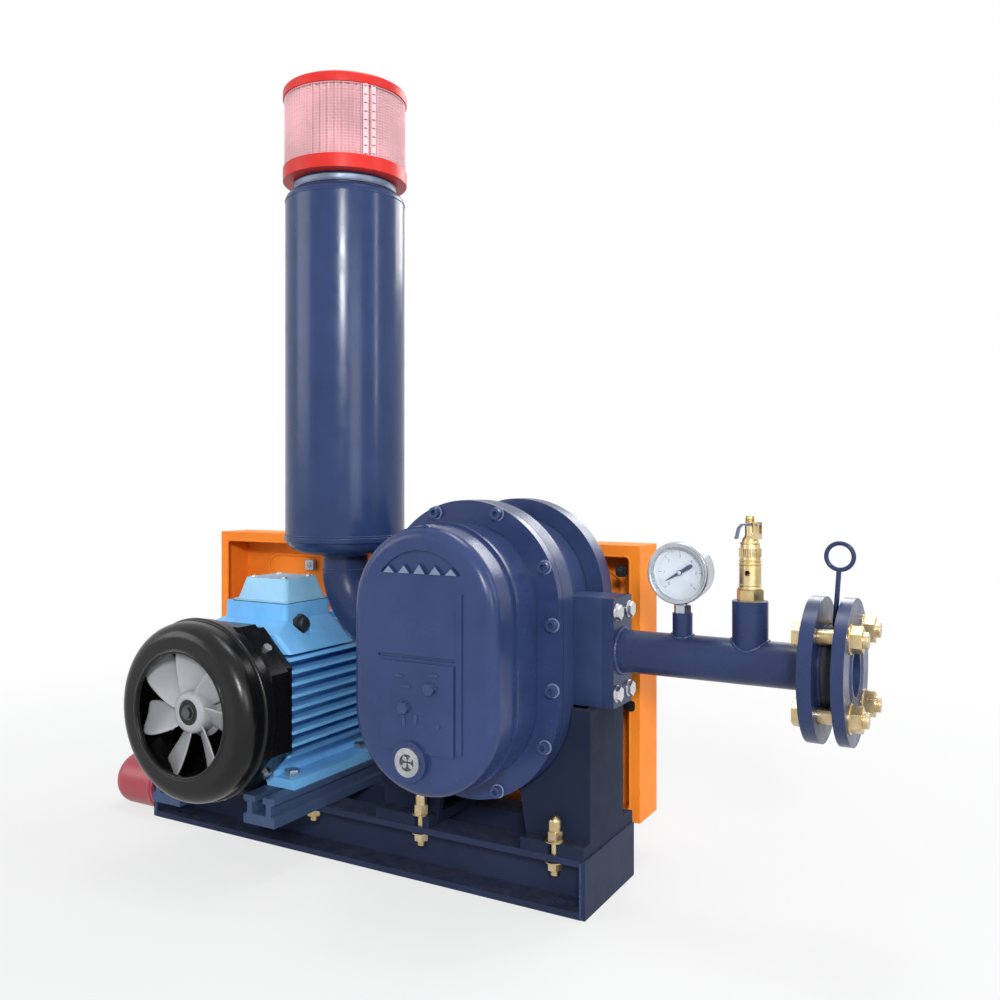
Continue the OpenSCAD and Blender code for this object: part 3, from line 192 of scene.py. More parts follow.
def bare_metal(name, colour, gloss=0.28, brush=(1.0, 1.0, 1.0), tarnish=0.3, tint=None, wear=0.25):
    """Turned or plated metal with fine tool marks, smudges and darker patches."""
    f = Finish(name)
    marks = f.stretched(520.0, 2.0, brush)
    smudge = f.noise(34.0, 5.0, 0.65)
    patch = f.spread(f.noise(48.0, 4.0, 0.6), 0.45, 0.72)
    base = f.mix(f.spread(smudge, 0.3, 0.7), shade(colour, 0.82), shade(colour, 1.08))
    if tint:
        base = f.mix(f.spread(f.noise(70.0, 3.0, 0.5), 0.42, 0.66) * 0.6, base, tint)
    base = f.mix(patch * tarnish, base, shade(colour, 0.4))
    pits = f.spread(f.noise(240.0, 3.0, 0.7), 0.66, 0.72)
    base = f.mix(pits * wear, base, shade(colour, 0.3))
    rough = gloss + f.spread(smudge, 0.3, 0.75, 0.0, 0.16) + patch * 0.12
    f.put(Base_Color=base, Metallic=1.0, Roughness=rough,
          Normal=f.bump(marks * 0.7 + f.noise(700.0, 2.0, 0.5) * 0.3, 0.18, 0.0004))
    return keep(name, f)


def moulded(name, colour, gloss=0.35, grain=0.2, scuff=0.3, scuff_and_sheen=(0.5, 0.5, 0.5), level=0.3):
    """Moulded plastic or rubber with a fine skin, scuffs lightened towards a colour that is partly a painted
    sheen, and settled dust.
    """
    f = Finish(name)
    tone = f.spread(f.noise(14.0, 3.0, 0.5), 0.35, 0.65)
    base = f.mix(tone, shade(colour, 0.86), shade(colour, 1.1))
    rub = f.spread(f.noise(75.0, 5.0, 0.7), 0.58, 0.74)
    # Scuffs lighten the plastic towards this colour: partly real scuffing, partly painted sheen
    base = f.mix(rub * scuff * 0.4, base, scuff_and_sheen)
    up = f.spread(f.facing_up(), 0.5, 1.0) * f.spread(f.noise(48.0, 4.0, 0.6), 0.4, 0.68)
    base = f.mix(up * 0.10, base, (0.40, 0.39, 0.38))
    rough = gloss + rub * 0.2 + up * 0.15
    f.put(Base_Color=base, Roughness=rough,
          Normal=f.bump(f.noise(650.0, 3.0, 0.6) * grain + f.noise(90.0, 2.0, 0.5) * 0.1, 0.3, 0.0005))
    f.put(Specular_IOR_Level=level)
    return keep(name, f)


def seamed(name, colour):
    """Welded seam: fused ripples, painted over."""
    f = Finish(name)
    ripple = f.noise(330.0, 3.0, 0.6)
    base = f.mix(f.spread(ripple, 0.3, 0.7), shade(colour, 0.72), shade(colour, 1.2))
    f.put(Base_Color=base, Roughness=0.3 + ripple * 0.12, Normal=f.bump(ripple, 0.6, 0.0009))
    f.put(Specular_IOR_Level=0.3)
    return keep(name, f)


NAVY = (0.026, 0.044, 0.122)
SKY = (0.170, 0.460, 0.820)
ORANGE = (1.000, 0.255, 0.026)

enamel("navy_base", (0.020, 0.028, 0.062), gloss=0.46, grain=0.10, dust=0.3, chips=0.5, level=0.10)
enamel("cover_navy", (0.025, 0.042, 0.120), gloss=0.19, peel=0.20, grain=0.22, dust=0.2, level=0.24)
enamel("blower_navy", (0.028, 0.045, 0.116), gloss=0.28, peel=0.2, grain=0.34, dust=0.2, level=0.2)
enamel("rail_navy", (0.045, 0.075, 0.150), gloss=0.34, grain=0.1, dust=0.2, chips=0.5, level=0.18)
# The blower casting's navy made darker for its legs: painted shade
enamel("leg_navy_painted_shade", (0.014, 0.020, 0.043), gloss=0.52, peel=0.2, grain=0.4, dust=0.3, level=0.07)
enamel("pipe_navy", (0.021, 0.034, 0.094), gloss=0.25, grain=0.06, dust=0.2, level=0.20)
enamel("tower_navy", (0.020, 0.038, 0.110), gloss=0.17, peel=0.10, dust=0.2, level=0.24)
enamel("plug_navy", (0.034, 0.055, 0.145), gloss=0.25, grain=0.05)
# Pale blue-grey enamel of the tie block: a painted highlight
enamel("tie_pale_glint", (0.46, 0.58, 0.68), gloss=0.3, grain=0.1, dust=0.1)
# Pale grey enamel: a painted glint on the brow tips; the joint washers are painted with it as well
enamel("glint_and_washer_grey", (0.16, 0.20, 0.30), gloss=0.3, grain=0.1)
enamel("motor_blue", SKY, gloss=0.30, peel=0.18, grain=0.24, dust=0.15, pool=0.12, level=0.2)
# Lighter copy of the motor's blue for the terminal box lid: painted light on its lit faces
enamel("lid_blue", (0.270, 0.530, 0.750), gloss=0.26, peel=0.16, grain=0.16, dust=0.15, pool=0.12, level=0.2)
enamel("cowl_black", (0.0045, 0.0045, 0.0050), gloss=0.20, peel=0.22, dust=0.15, chips=0.15, level=0.28)
enamel("guard_orange", ORANGE, gloss=0.40, peel=0.20, dust=0.04, chips=0.25, level=0.10, grime_share=0.14,
       chip_colour=(0.30, 0.09, 0.02))
enamel("lever_grey", (0.085, 0.12, 0.20), gloss=0.3)
enamel("needle_blue", (0.012, 0.025, 0.090), gloss=0.3, dust=0.0, chips=0.0)
enamel("valve_grey", (0.030, 0.034, 0.044), gloss=0.42, grain=0.25, level=0.16)
moulded("cap_red", (0.330, 0.042, 0.060), gloss=0.34, grain=0.12, scuff_and_sheen=(0.75, 0.35, 0.36), level=0.4)
moulded("filter_red", (0.60, 0.030, 0.024), gloss=0.34, grain=0.10, scuff=0.05, scuff_and_sheen=(0.80, 0.2, 0.18),
        level=0.14)
moulded("gland_grey", (0.020, 0.024, 0.030), gloss=0.42)
moulded("seal_rubber", (0.010, 0.010, 0.011), gloss=0.55)
moulded("belt_rubber", (0.014, 0.014, 0.015), gloss=0.6, grain=0.6, scuff=0.5)
bare_metal("sight_steel", (0.47, 0.49, 0.52), 0.2, tarnish=0.6)
bare_metal("motor_fixings", (0.62, 0.63, 0.64), 0.25)
bare_metal("blower_fixings", (0.66, 0.67, 0.69), 0.24)
bare_metal("base_fixings", (0.62, 0.47, 0.24), 0.24, tarnish=0.55, tint=(0.66, 0.60, 0.48), wear=0.4)
bare_metal("valve_brass", (0.60, 0.45, 0.21), 0.22, tarnish=0.55, tint=(0.68, 0.60, 0.42))
bare_metal("bearing_steel", (0.62, 0.63, 0.65), 0.2)
bare_metal("core_steel", (0.50, 0.51, 0.53), 0.38)
bare_metal("clip_steel", (0.20, 0.25, 0.34), 0.40)
bare_metal("flap_steel", (0.55, 0.56, 0.58), 0.3)
bare_metal("gauge_steel", (0.50, 0.54, 0.60), 0.16, tarnish=0.25, wear=0.1)
bare_metal("spring_steel", (0.48, 0.49, 0.51), 0.3)
bare_metal("rotor_iron", (0.36, 0.37, 0.39), 0.34)
bare_metal("gear_steel", (0.45, 0.46, 0.48), 0.3)
bare_metal("pulley_iron", (0.10, 0.105, 0.11), 0.42)
bare_metal("shaft_steel", (0.42, 0.43, 0.45), 0.3)
bare_metal("windings", (0.45, 0.25, 0.11), 0.4)
enamel("fan_silver", (0.33, 0.345, 0.36), gloss=0.42, grain=0.3, dust=0.3, chips=0.5, level=0.4)
moulded("dial_white", (0.60, 0.62, 0.64), gloss=0.5, grain=0.05, scuff=0.0)
moulded("filter_pink", (0.78, 0.44, 0.47), gloss=0.85, grain=0.5, scuff=0.1)
moulded("screen_pink", (0.80, 0.54, 0.57), gloss=0.5, grain=0.2, scuff=0.2, level=0.15)
# Dark colour of the filter's staples: painted shade along the seam
moulded("staple_painted_shade", (0.26, 0.10, 0.13), gloss=0.45, grain=0.2, scuff=0.2)
moulded("printed_grey", (0.12, 0.14, 0.18), gloss=0.5, scuff=0.0)
seamed("weld_navy", NAVY)


def clear_glass(name):
    """Glass that lets daylight and shadow rays straight through, so what lies behind isn't lit twice."""
    f = Finish(name)
    smear = f.spread(f.noise(55.0, 4.0, 0.6), 0.45, 0.7)
    f.put(Base_Color=(0.96, 0.98, 1.0), Roughness=0.015 + smear * 0.05)
    f.put(Transmission_Weight=1.0, IOR=1.46)
    through = f.node("ShaderNodeBsdfTransparent", {}, {"Color": (0.96, 0.98, 1.0, 1.0)})
    straight = (f.node("ShaderNodeLightPath", {}, {}, "Is Shadow Ray") +
                f.node("ShaderNodeLightPath", {}, {}, "Is Diffuse Ray")).clip()
    mixed = f.node("ShaderNodeMixShader", {}, {0: straight, 1: Value(f, f.surface.outputs[0]), 2: through})
    f.join(f.tree.nodes["Material Output"].inputs["Surface"], mixed)
    return keep(name, f)


clear_glass("lens_glass")


# ---------------------------------------------------------------- mesh kit
def mm(*values):
    """A point given in millimetres."""
    return Vector([v * MM for v in values])


def begin():
    return bmesh.new()


def along(axis, x, y, z):
    """Places a shape made round Z, in millimetres, so that its Z points along an axis of the machine."""
    turns = {"z": Matrix.Identity(4), "-z": Matrix.Rotation(math.pi, 4, "X"),
             "x": Matrix.Rotation(math.pi / 2, 4, "Y"), "-x": Matrix.Rotation(-math.pi / 2, 4, "Y"),
             "y": Matrix.Rotation(-math.pi / 2, 4, "X"), "-y": Matrix.Rotation(math.pi / 2, 4, "X")}
    return Matrix.Scale(MM, 4) @ Matrix.Translation((x, y, z)) @ turns[axis]


def lathe(bm, profile, steps, matrix, closed=False):
    """Spins a profile of (radius, height) pairs round Z."""
    verts = [bm.verts.new((r, 0.0, h)) for r, h in profile]
    edges = [bm.edges.new(pair) for pair in zip(verts, verts[1:])]
    if closed:
        edges.append(bm.edges.new((verts[-1], verts[0])))
    made = bmesh.ops.spin(bm, geom=verts + edges, cent=(0, 0, 0), axis=(0, 0, 1), angle=2 * math.pi,
                          steps=steps, use_merge=True)
    parts = set(verts)
    for g in made["geom_last"]:
        if isinstance(g, bmesh.types.BMVert):
            parts.add(g)
    island = reach(parts)
    bmesh.ops.remove_doubles(bm, verts=list(island), dist=1e-4)
    island = [v for v in island if v.is_valid]
    bmesh.ops.transform(bm, matrix=matrix, verts=island)
    return island


def reach(start):
    """Every vertex joined to these by edges."""
    seen, todo = set(start), list(start)
    while todo:
        for e in todo.pop().link_edges:
            for v in e.verts:
                if v not in seen:
                    seen.add(v)
                    todo.append(v)
    return seen


def soften(bm, edges, width):
    """Rounds edges, and gives back every vertex of the piece that they belong to."""
    cut = bmesh.ops.bevel(bm, geom=edges, offset=width, offset_type="OFFSET", segments=2, profile=0.5,
                          affect="EDGES", material=-1)
    return list(reach(cut["verts"][:1]))


def prism(bm, outline, low, high, matrix, bevel=0.0):
    """Extrudes a flat outline of (x, y) pairs from one height to another."""
    verts = [bm.verts.new((x, y, low)) for x, y in outline]
    face = bm.faces.new(verts)
    made = bmesh.ops.extrude_face_region(bm, geom=[face])
    top = [g for g in made["geom"] if isinstance(g, bmesh.types.BMVert)]
    bmesh.ops.translate(bm, verts=top, vec=(0, 0, high - low))
    island = list(reach(verts))
    if bevel:
        edges = {e for v in island for e in v.link_edges}
        rims = [e for e in edges if abs(e.verts[0].co.z - e.verts[1].co.z) < 1e-6]
        island = soften(bm, rims, bevel)
    bmesh.ops.transform(bm, matrix=matrix, verts=island)
    return island


def block(bm, size, centre, bevel=0.0, matrix=None):
    """A rectangular block with rounded edges, sizes in millimetres."""
    w, d, h = (s / 2 for s in size)
    outline = [(-w, -d), (w, -d), (w, d), (-w, d)]
    made = prism(bm, outline, -h, h, Matrix.Identity(4))
    if bevel:
        edges = list({e for v in made for e in v.link_edges})
        made = soften(bm, edges, bevel)
    place = Matrix.Scale(MM, 4) @ Matrix.Translation(centre) @ (matrix or Matrix.Identity(4))
    bmesh.ops.transform(bm, matrix=place, verts=made)
    return made


def tube(bm, points, radius, sides=10, closed=False):
    """A round bar through points, in millimetres. Gives back its rings of vertices, one after another."""
    rings = []
    count = len(points)
    up = Vector((0, 0, 1))
    for i, p in enumerate(points):
        before = points[i - 1] if (i or closed) else p
        after = points[(i + 1) % count] if (i < count - 1 or closed) else p
        way = (Vector(after) - Vector(before)).normalized()
        side = way.cross(up)
        if side.length < 0.2:
            side = way.cross(Vector((0, 1, 0)))
        side.normalize()
        lift = side.cross(way)
        rings.append([bm.verts.new(mm(*(Vector(p) + radius * (math.cos(a) * side + math.sin(a) * lift))))
                      for a in (2 * math.pi * k / sides for k in range(sides))])
    pairs = list(zip(rings, rings[1:]))
    if closed:
        pairs.append((rings[-1], rings[0]))
    for a, b in pairs:
        edges = []
        for ring in (a, b):
            edges += [bm.edges.get((ring[k], ring[(k + 1) % sides])) or
                      bm.edges.new((ring[k], ring[(k + 1) % sides])) for k in range(sides)]
        bmesh.ops.bridge_loops(bm, edges=edges)
    if not closed:
        bm.faces.new(rings[0][::-1])
        bm.faces.new(rings[-1])
    return [v for ring in rings for v in ring]


def close_piece(bm, name, body, material, weighted=True, recalc=True):
    """Turns a bmesh into a finished piece that rides on a body."""
    if recalc:
        bmesh.ops.recalc_face_normals(bm, faces=bm.faces)
    mesh = bpy.data.meshes.new(name)
    limit = math.radians(35.0)
    for e in bm.edges:
        e.smooth = len(e.link_faces) != 2 or e.calc_face_angle(0.0) < limit
    for face in bm.faces:
        face.smooth = True
    bm.to_mesh(mesh)
    bm.free()
    piece = bpy.data.objects.new(name, mesh)
    bpy.context.scene.collection.objects.link(piece)
    mesh.materials.append(FINISHES[material])
    if weighted:
        modifier = piece.modifiers.new("even_shading", "WEIGHTED_NORMAL")
        modifier.keep_sharp = True
    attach(piece, body)
    return piece


def refined(node, material, bevel):
    """A merged copy of a solid with its edges rounded, in place of the solid."""
    source = frame["nodes"][node]
    limit = math.radians(32.0)
    for flat_faces in (True, False):
        bm = begin()
        bm.from_mesh(source.data)
        bmesh.ops.remove_doubles(bm, verts=bm.verts, dist=2e-6)
        bmesh.ops.dissolve_degenerate(bm, edges=bm.edges, dist=1e-6)
        skin = sum(face.calc_area() for face in bm.faces)
        if flat_faces:
            bmesh.ops.dissolve_limit(bm, angle_limit=math.radians(0.6), verts=bm.verts, edges=bm.edges)
        sharp = [e for e in bm.edges if len(e.link_faces) == 2 and e.calc_face_angle(0.0) > limit]
        bmesh.ops.bevel(bm, geom=sharp, offset=bevel * MM, offset_type="OFFSET", segments=2,
                        profile=0.5, affect="EDGES", material=-1, clamp_overlap=True)
        # Rounding takes a little skin away; more skin means that a joined face has closed a hole
        split = bm.copy()
        bmesh.ops.triangulate(split, faces=split.faces)
        rounded_skin = sum(face.calc_area() for face in split.faces)
        split.free()
        if rounded_skin <= skin * 1.0002:
            break
    piece = close_piece(bm, node + "_dressed", BODY_OF[node], material, recalc=False)
    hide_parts(node)
    return piece


# What the record says of each solid: the body that it rides on, and its material slot
BODY_OF = {n: b for b, ns in frame["record"]["behaviour"]["bodies"].items() for n in ns}
SLOT_OF = {s["node"]: s["material_slot"] for s in frame["record"]["subparts"]}

for cad_node, cad_piece in frame["nodes"].items():
    cad_piece.data.materials.clear()
    cad_piece.data.materials.append(FINISHES[SLOT_OF[cad_node]])


def at_face(x, y, z):
    """Places a shape drawn as X to the right, Y up and Z into the machine, seen from the front."""
    turn = Matrix(((1, 0, 0, 0), (0, 0, 1, 0), (0, 1, 0, 0), (0, 0, 0, 1)))
    return Matrix.Scale(MM, 4) @ Matrix.Translation((x, y, z)) @ turn


def washer(bm, matrix, outer, inner, thick):
    """Flat washer with eased rims."""
    e = min(0.35, thick / 3)
    lathe(bm, [(inner, 0), (outer - e, 0), (outer, e), (outer, thick - e), (outer - e, thick),
               (inner + e, thick), (inner, thick - e)], 32, matrix, closed=True)


def button(bm, matrix, radius, height, socket=0.0):
    """Rounded screw head, with a round socket where one is asked for."""
    crown = [(radius, 0.0), (radius, height * 0.25), (radius * 0.92, height * 0.6),
             (radius * 0.7, height * 0.9)]
    if socket:
        crown += [(socket, height), (socket * 0.9, height * 0.4), (0.0, height * 0.34)]
    else:
        crown += [(radius * 0.35, height), (0.0, height)]
    lathe(bm, [(0.0, 0.0)] + crown, 28, matrix)


def hexagon(across, turn=0.0):
    """Outline of a hexagon by its width across flats."""
    r = across / math.sqrt(3)
    return [(r * math.cos(math.radians(60 * k + turn)), r * math.sin(math.radians(60 * k + turn)))
            for k in range(6)]


def round_plate(w, h, r, steps=5):
    """Outline of a rectangle with round corners."""
    spots = []
    for sx, sy, start in ((1, 1, 0), (-1, 1, 90), (-1, -1, 180), (1, -1, 270)):
        for k in range(steps + 1):
            a = math.radians(start + 90 * k / steps)
            spots.append((sx * (w / 2 - r) + r * math.cos(a), sy * (h / 2 - r) + r * math.sin(a)))
    return spots


def thread(bm, matrix, radius, length, pitch=1.75, crown=True):
    """Screw thread as close ridges, with a chamfered tip."""
    ridges = max(1, int(length / pitch))
    spots = [(radius - 0.9, 0.0)]
    for k in range(ridges):
        z = k * pitch
        spots += [(radius - 0.55, z + 0.05), (radius + 0.15, z + pitch * 0.5)]
    spots.append((radius - 0.55, ridges * pitch))
    if crown:
        top = ridges * pitch
        spots += [(radius * 0.82, top + 0.5), (radius * 0.55, top + 0.9), (0.0, top + 1.0)]
    lathe(bm, spots, 24, matrix)


def bead(bm, points, radius, closed=True):
    """Weld bead along points, with a ripple every third point."""
    sides = 8
    rings = tube(bm, points, radius, sides, closed)
    for i, point in enumerate(points):
        swell = 1.0 + 0.16 * math.cos(2 * math.pi * i / 3)
        centre = mm(*point)
        for v in rings[i * sides:(i + 1) * sides]:
            v.co = centre + (v.co - centre) * swell


def ring_points(axis, x, y, z, radius, count):
    """Points of a circle square to an axis of the machine."""
    spots = []
    for k in range(count):
        a = 2 * math.pi * k / count
        c, s = radius * math.cos(a), radius * math.sin(a)
        spots.append({"x": (x, y + c, z + s), "y": (x + c, y, z + s), "z": (x + c, y + s, z)}[axis])
    return spots


def saddle(x, radius, count):
    """Where an upright branch meets the outlet pipe."""
    spots = []
    for k in range(count):
        a = 2 * math.pi * k / count
        y = radius * math.sin(a)
        rise = math.sqrt(max(0.0, PIPE_R ** 2 - y ** 2))
        spots.append((x + radius * math.cos(a), PORT_Y + y, BLOWER_Z + rise))
    return spots


def rounded_loop(left, right, low, high, radius, y, steps):
    """Points of an upright rectangle, whose corners are arcs round the four given centres."""
    spots = []
    for x, z, start in ((right, high, 0), (left, high, 90), (left, low, 180), (right, low, 270)):
        for k in range(steps + 1):
            a = math.radians(start + 90 * k / steps)
            spots.append((x + radius * math.cos(a), y, z + radius * math.sin(a)))
    return spots


# Width of each dressed solid's rounded edges, in millimetres
SOFT_EDGES = {
    "gear_cover": 1.0, "gear_plate": 2.0, "drive_plate": 2.4, "rotor_casing": 1.6, "blower_legs": 1.6,
    "front_channel": 1.2, "rear_channel": 1.2, "end_members": 0.8, "slide_rails": 1.0, "end_cap": 0.6,
    "motor_housing": 0.6, "motor_front_shield": 1.0, "motor_rear_shield": 0.8, "fan_cowl": 0.5,
    "terminal_box": 1.4, "terminal_box_lid": 1.6, "cable_gland": 0.4, "silencer_shell": 0.5,
    "filter_caps": 0.8, "inlet_elbow": 0.6, "outlet_pipe": 1.0, "pipe_flange": 0.8, "end_flange": 0.8,
    "valve_body": 0.5, "valve_eye": 0.3, "belt_guard": 0.7, "gauge_case": 0.5, "gauge_bezel": 0.3,
    "gauge_nipple": 0.3, "relief_body": 0.3, "relief_stem": 0.3, "relief_lever": 0.25,
    "sight_glass": 0.5, "motor_bolts": 0.4, "blower_bolts": 0.5, "cover_screws": 0.4,
    "base_bolts": 0.6, "flange_bolts": 0.8, "bearing_cover": 0.8, "motor_shaft": 0.5,
    "blower_pulley": 0.5, "flange_gaskets": 0.2, "valve_flap": 0.3,
}
# Solids painted in another tone than their slot's; the legs' darker navy is painted shade
OWN_PAINT = {"blower_legs": "leg_navy_painted_shade", "slide_rails": "rail_navy"}
for cad_node, width in SOFT_EDGES.items():
    refined(cad_node, OWN_PAINT.get(cad_node, SLOT_OF[cad_node]), width)


# ---------------------------------------------------------------- intake tower
def filter_screen():
    """Fine mesh drawn round the pleated paper, with its stapled joint."""
    bm = begin()
    low, high, radius = FILTER_Z + 15, FILTER_TOP - 11, FILTER_R - 2.2
    rows = 26
    profile = [(radius, low + (high - low) * k / rows) for k in range(rows + 1)]
    lathe(bm, profile, 108, along("z", TOWER_X, PORT_Y, 0))
    bmesh.ops.wireframe(bm, faces=bm.faces, thickness=0.0008, use_replace=True, use_boundary=True,
                        use_even_offset=True)
    close_piece(bm, "filter_screen", "machine", "screen_pink")

    bm = begin()
    turns = [(k - 3) * 0.75 for k in range(7)]
    for side in (-1, 1):
        strip = []
        for out, steps in ((radius + 0.8, turns), (radius - 0.4, turns[::-1])):
            for step in steps:
                a = math.radians(SEAM_TURN + side * SEAM_HALF + step)
                strip.append((out * math.cos(a), out * math.sin(a)))
        prism(bm, strip, low - 2, high + 2, along("z", TOWER_X, PORT_Y, 0))
    close_piece(bm, "filter_joint", "machine", "screen_pink")

    # Staples of the joint; their dark colour is painted shade, the dashes of shadow along the seam
    bm = begin()
    for side in (-1, 1):
        for k in range(9):
            z = low + 5 + (high - low - 10) * k / 8 + side * 0.8
            arc = []
            for m in range(4):
                a = math.radians(SEAM_TURN + side * SEAM_HALF + (m - 1.5) * 0.9)
                out = radius + (1.0 if 0 < m < 3 else 0.3)
                arc.append((TOWER_X + out * math.cos(a), PORT_Y + out * math.sin(a), z))
            tube(bm, arc, 0.8, 8)
    close_piece(bm, "filter_staples", "machine", "staple_painted_shade")

    bm = begin()
    r = FILTER_R - 0.2
    for z in (FILTER_Z + 15.6, FILTER_TOP - 11.2):
        lathe(bm, [(r - 3, z - 1.2), (r - 0.8, z - 1.2), (r, z - 0.4), (r, z + 0.4), (r - 0.8, z + 1.2),
                   (r - 3, z + 1.2)], 96, along("z", TOWER_X, PORT_Y, 0), closed=True)
    r = FILTER_R - 12
    lathe(bm, [(0.0, 0.2), (14, 0.2), (16, 1.4), (r - 3, 1.4), (r, 0.6), (r, -1.0), (0.0, -1.0)], 96,
          along("z", TOWER_X, PORT_Y, FILTER_TOP))
    close_piece(bm, "filter_rims", "machine", "filter_red")


def tower_trim():
    """Band clip round the neck, and the seams of the rolled shell."""
    bm = begin()
    neck = TOWER_R - 13
    lathe(bm, [(neck - 0.4, 868.4), (neck + 1.6, 868.4), (neck + 2.0, 869.4), (neck + 1.4, 870.4),
               (neck + 1.4, 875.4), (neck + 2.0, 876.4), (neck + 1.6, 877.4), (neck - 0.4, 877.4)], 96,
          along("z", TOWER_X, PORT_Y, 0), closed=True)
    a = math.radians(64)
    x, y = TOWER_X + (neck + 4.6) * math.cos(a), PORT_Y + (neck + 4.6) * math.sin(a)
    block(bm, (7, 13, 8), (x, y, 872.9), 1.2, Matrix.Rotation(a, 4, "Z"))
    for z in (870.6, 872.9, 875.2):
        tube(bm, [(x - 12 * math.cos(a + 1.57), y - 12 * math.sin(a + 1.57), z),
                  (x + 12 * math.cos(a + 1.57), y + 12 * math.sin(a + 1.57), z)], 0.8, 8)
    close_piece(bm, "neck_clip", "machine", "clip_steel")

    bm = begin()
    bead(bm, ring_points("z", TOWER_X, PORT_Y, TOWER_Z + 8.4, TOWER_R + 0.2, 210), 1.0)
    bead(bm, ring_points("z", TOWER_X, PORT_Y, TOWER_TOP - 12.5, TOWER_R - 0.1, 210), 0.8)
    a = math.radians(118)
    rise = [(TOWER_X + TOWER_R * math.cos(a), PORT_Y + TOWER_R * math.sin(a),
             TOWER_Z + 10 + (TOWER_TOP - TOWER_Z - 23) * k / 180) for k in range(181)]
    bead(bm, rise, 1.1, closed=False)
    bead(bm, ring_points("z", TOWER_X, PORT_Y, TOWER_Z - 18.2, 31.2, 90), 2.2)
    close_piece(bm, "tower_seams", "machine", "weld_navy")

    bm = begin()
    bead(bm, ring_points("z", TOWER_X, PORT_Y, 364.4, 30.2, 90), 1.2)
    bead(bm, ring_points("x", TOWER_X + 76.2, PORT_Y, BLOWER_Z, 30.2, 90), 1.2)
    bead(bm, ring_points("x", INLET_X - 14.4, PORT_Y, BLOWER_Z, 31.4, 96), 2.4)
    close_piece(bm, "elbow_seams", "machine", "weld_navy")


# ---------------------------------------------------------------- motor
def fan_wheel():
    """Cast fan with broad curved blades, a dished hub with a black disc in it as painted shade, and the screw
    on the shaft's end.
    """
    bm = begin()
    front = COWL_FRONT + 9
    blades, rows, cols = 7, 9, 5
    for i in range(blades):
        grid = []
        for u in range(rows):
            s = u / (rows - 1)
            radius = 20 + 67 * s
            width = 13 + 12.5 * s ** 0.7 - (4.5 * max(0.0, s - 0.8) / 0.2)
            tilt = math.radians(56 + 8 * s)
            row = []
            for v in range(cols):
                w = (v / (cols - 1) - 0.5) * 2
                across, deep = -w * width * math.sin(tilt), w * width * math.cos(tilt) + 2.6 * (1 - w * w)
                spin = 2 * math.pi * i / blades + math.radians(97 - 9 * s)
                px = radius * math.cos(spin) - across * math.sin(spin)
                py = radius * math.sin(spin) + across * math.cos(spin)
                row.append(bm.verts.new((px, py, 15 + deep)))
            grid.append(row)
        for a, b in zip(grid, grid[1:]):
            for k in range(cols - 1):
                bm.faces.new((a[k], a[k + 1], b[k + 1], b[k]))
    bmesh.ops.transform(bm, matrix=at_face(MOTOR_X, front, MOTOR_Z), verts=bm.verts)
    blade_faces = close_piece(bm, "fan_blades", "motor_rotor", "fan_silver", weighted=False)
    thick = blade_faces.modifiers.new("thick", "SOLIDIFY")
    thick.thickness, thick.offset = 0.0028, 0.0
    soft = blade_faces.modifiers.new("soft", "SUBSURF")
    soft.levels = soft.render_levels = 1
    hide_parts("cooling_fan")

    bm = begin()
    lathe(bm, [(15.2, 8), (15.6, 5.6), (17.4, 4.6), (21, 5.0), (24, 6.6), (26, 10), (26.6, 16), (27.5, 27),
               (34, 29), (34, 32), (24, 33.5), (14.2, 33.5)], 64, at_face(MOTOR_X, front, MOTOR_Z))
    close_piece(bm, "fan_hub", "motor_rotor", "fan_silver")

    # Black disc in the hub's dish: painted shade in the hollow of the hub
    bm = begin()
    lathe(bm, [(0, 6.4), (10.6, 6.4), (11.2, 5.9), (15.0, 5.9), (15.6, 6.6), (15.6, 9), (0, 9)], 48,
          at_face(MOTOR_X, front, MOTOR_Z))
    close_piece(bm, "fan_hub_shade_disc", "motor_rotor", "seal_rubber")

    bm = begin()
    prism(bm, hexagon(13, 12), 1.6, 6.0, at_face(MOTOR_X, front, MOTOR_Z), 0.7)
    washer(bm, at_face(MOTOR_X, front + 5.2, MOTOR_Z), 9.4, 3.0, 1.4)
    close_piece(bm, "fan_screw", "motor_rotor", "pulley_iron")


def motor_trim():
    """Joint and screws of the terminal box, screws of the drive end shield, rim of the cowl."""
    bm = begin()
    prism(bm, round_plate(99, 87, 8.5), LID_JOINT, LID_JOINT + 1.1, along("z", LID_X - 2, LID_Y, 0))
    close_piece(bm, "lid_gasket", "machine", "seal_rubber")

    bm = begin()
    for sx in (-1, 1):
        for sy in (-1, 1):
            x, y = LID_X + sx * 27, LID_Y + sy * 24
            button(bm, along("z", x, y, LID_TOP), 3.6, 2.4, socket=1.8)
            washer(bm, along("z", x, y, LID_TOP - 0.1), 5.0, 2.0, 0.7)
    close_piece(bm, "lid_screws", "machine", "motor_fixings")

    # Screws of the drive end shield
    bm = begin()
    for k in range(4):
        a = math.radians(45 + 90 * k)
        x, z = MOTOR_X + 88 * math.cos(a), MOTOR_Z + 88 * math.sin(a)
        prism(bm, hexagon(10, 8 * k), 13.4, 18.8, at_face(x, FRAME_BACK, z), 0.5)
        washer(bm, at_face(x, FRAME_BACK + 13.2, z), 7.6, 2.0, 1.0)
    close_piece(bm, "shield_screws", "machine", "motor_fixings")

    # Rolled rim of the cowl mouth
    bm = begin()
    lathe(bm, [(74.6, 2.5), (73.7, 0.6), (74.8, -0.9), (77.2, -1.1), (79.0, 0.2), (79.0, 2.0), (77.0, 3.4)],
          96, at_face(MOTOR_X, COWL_FRONT, MOTOR_Z), closed=True)
    close_piece(bm, "cowl_mouth", "machine", "cowl_black")


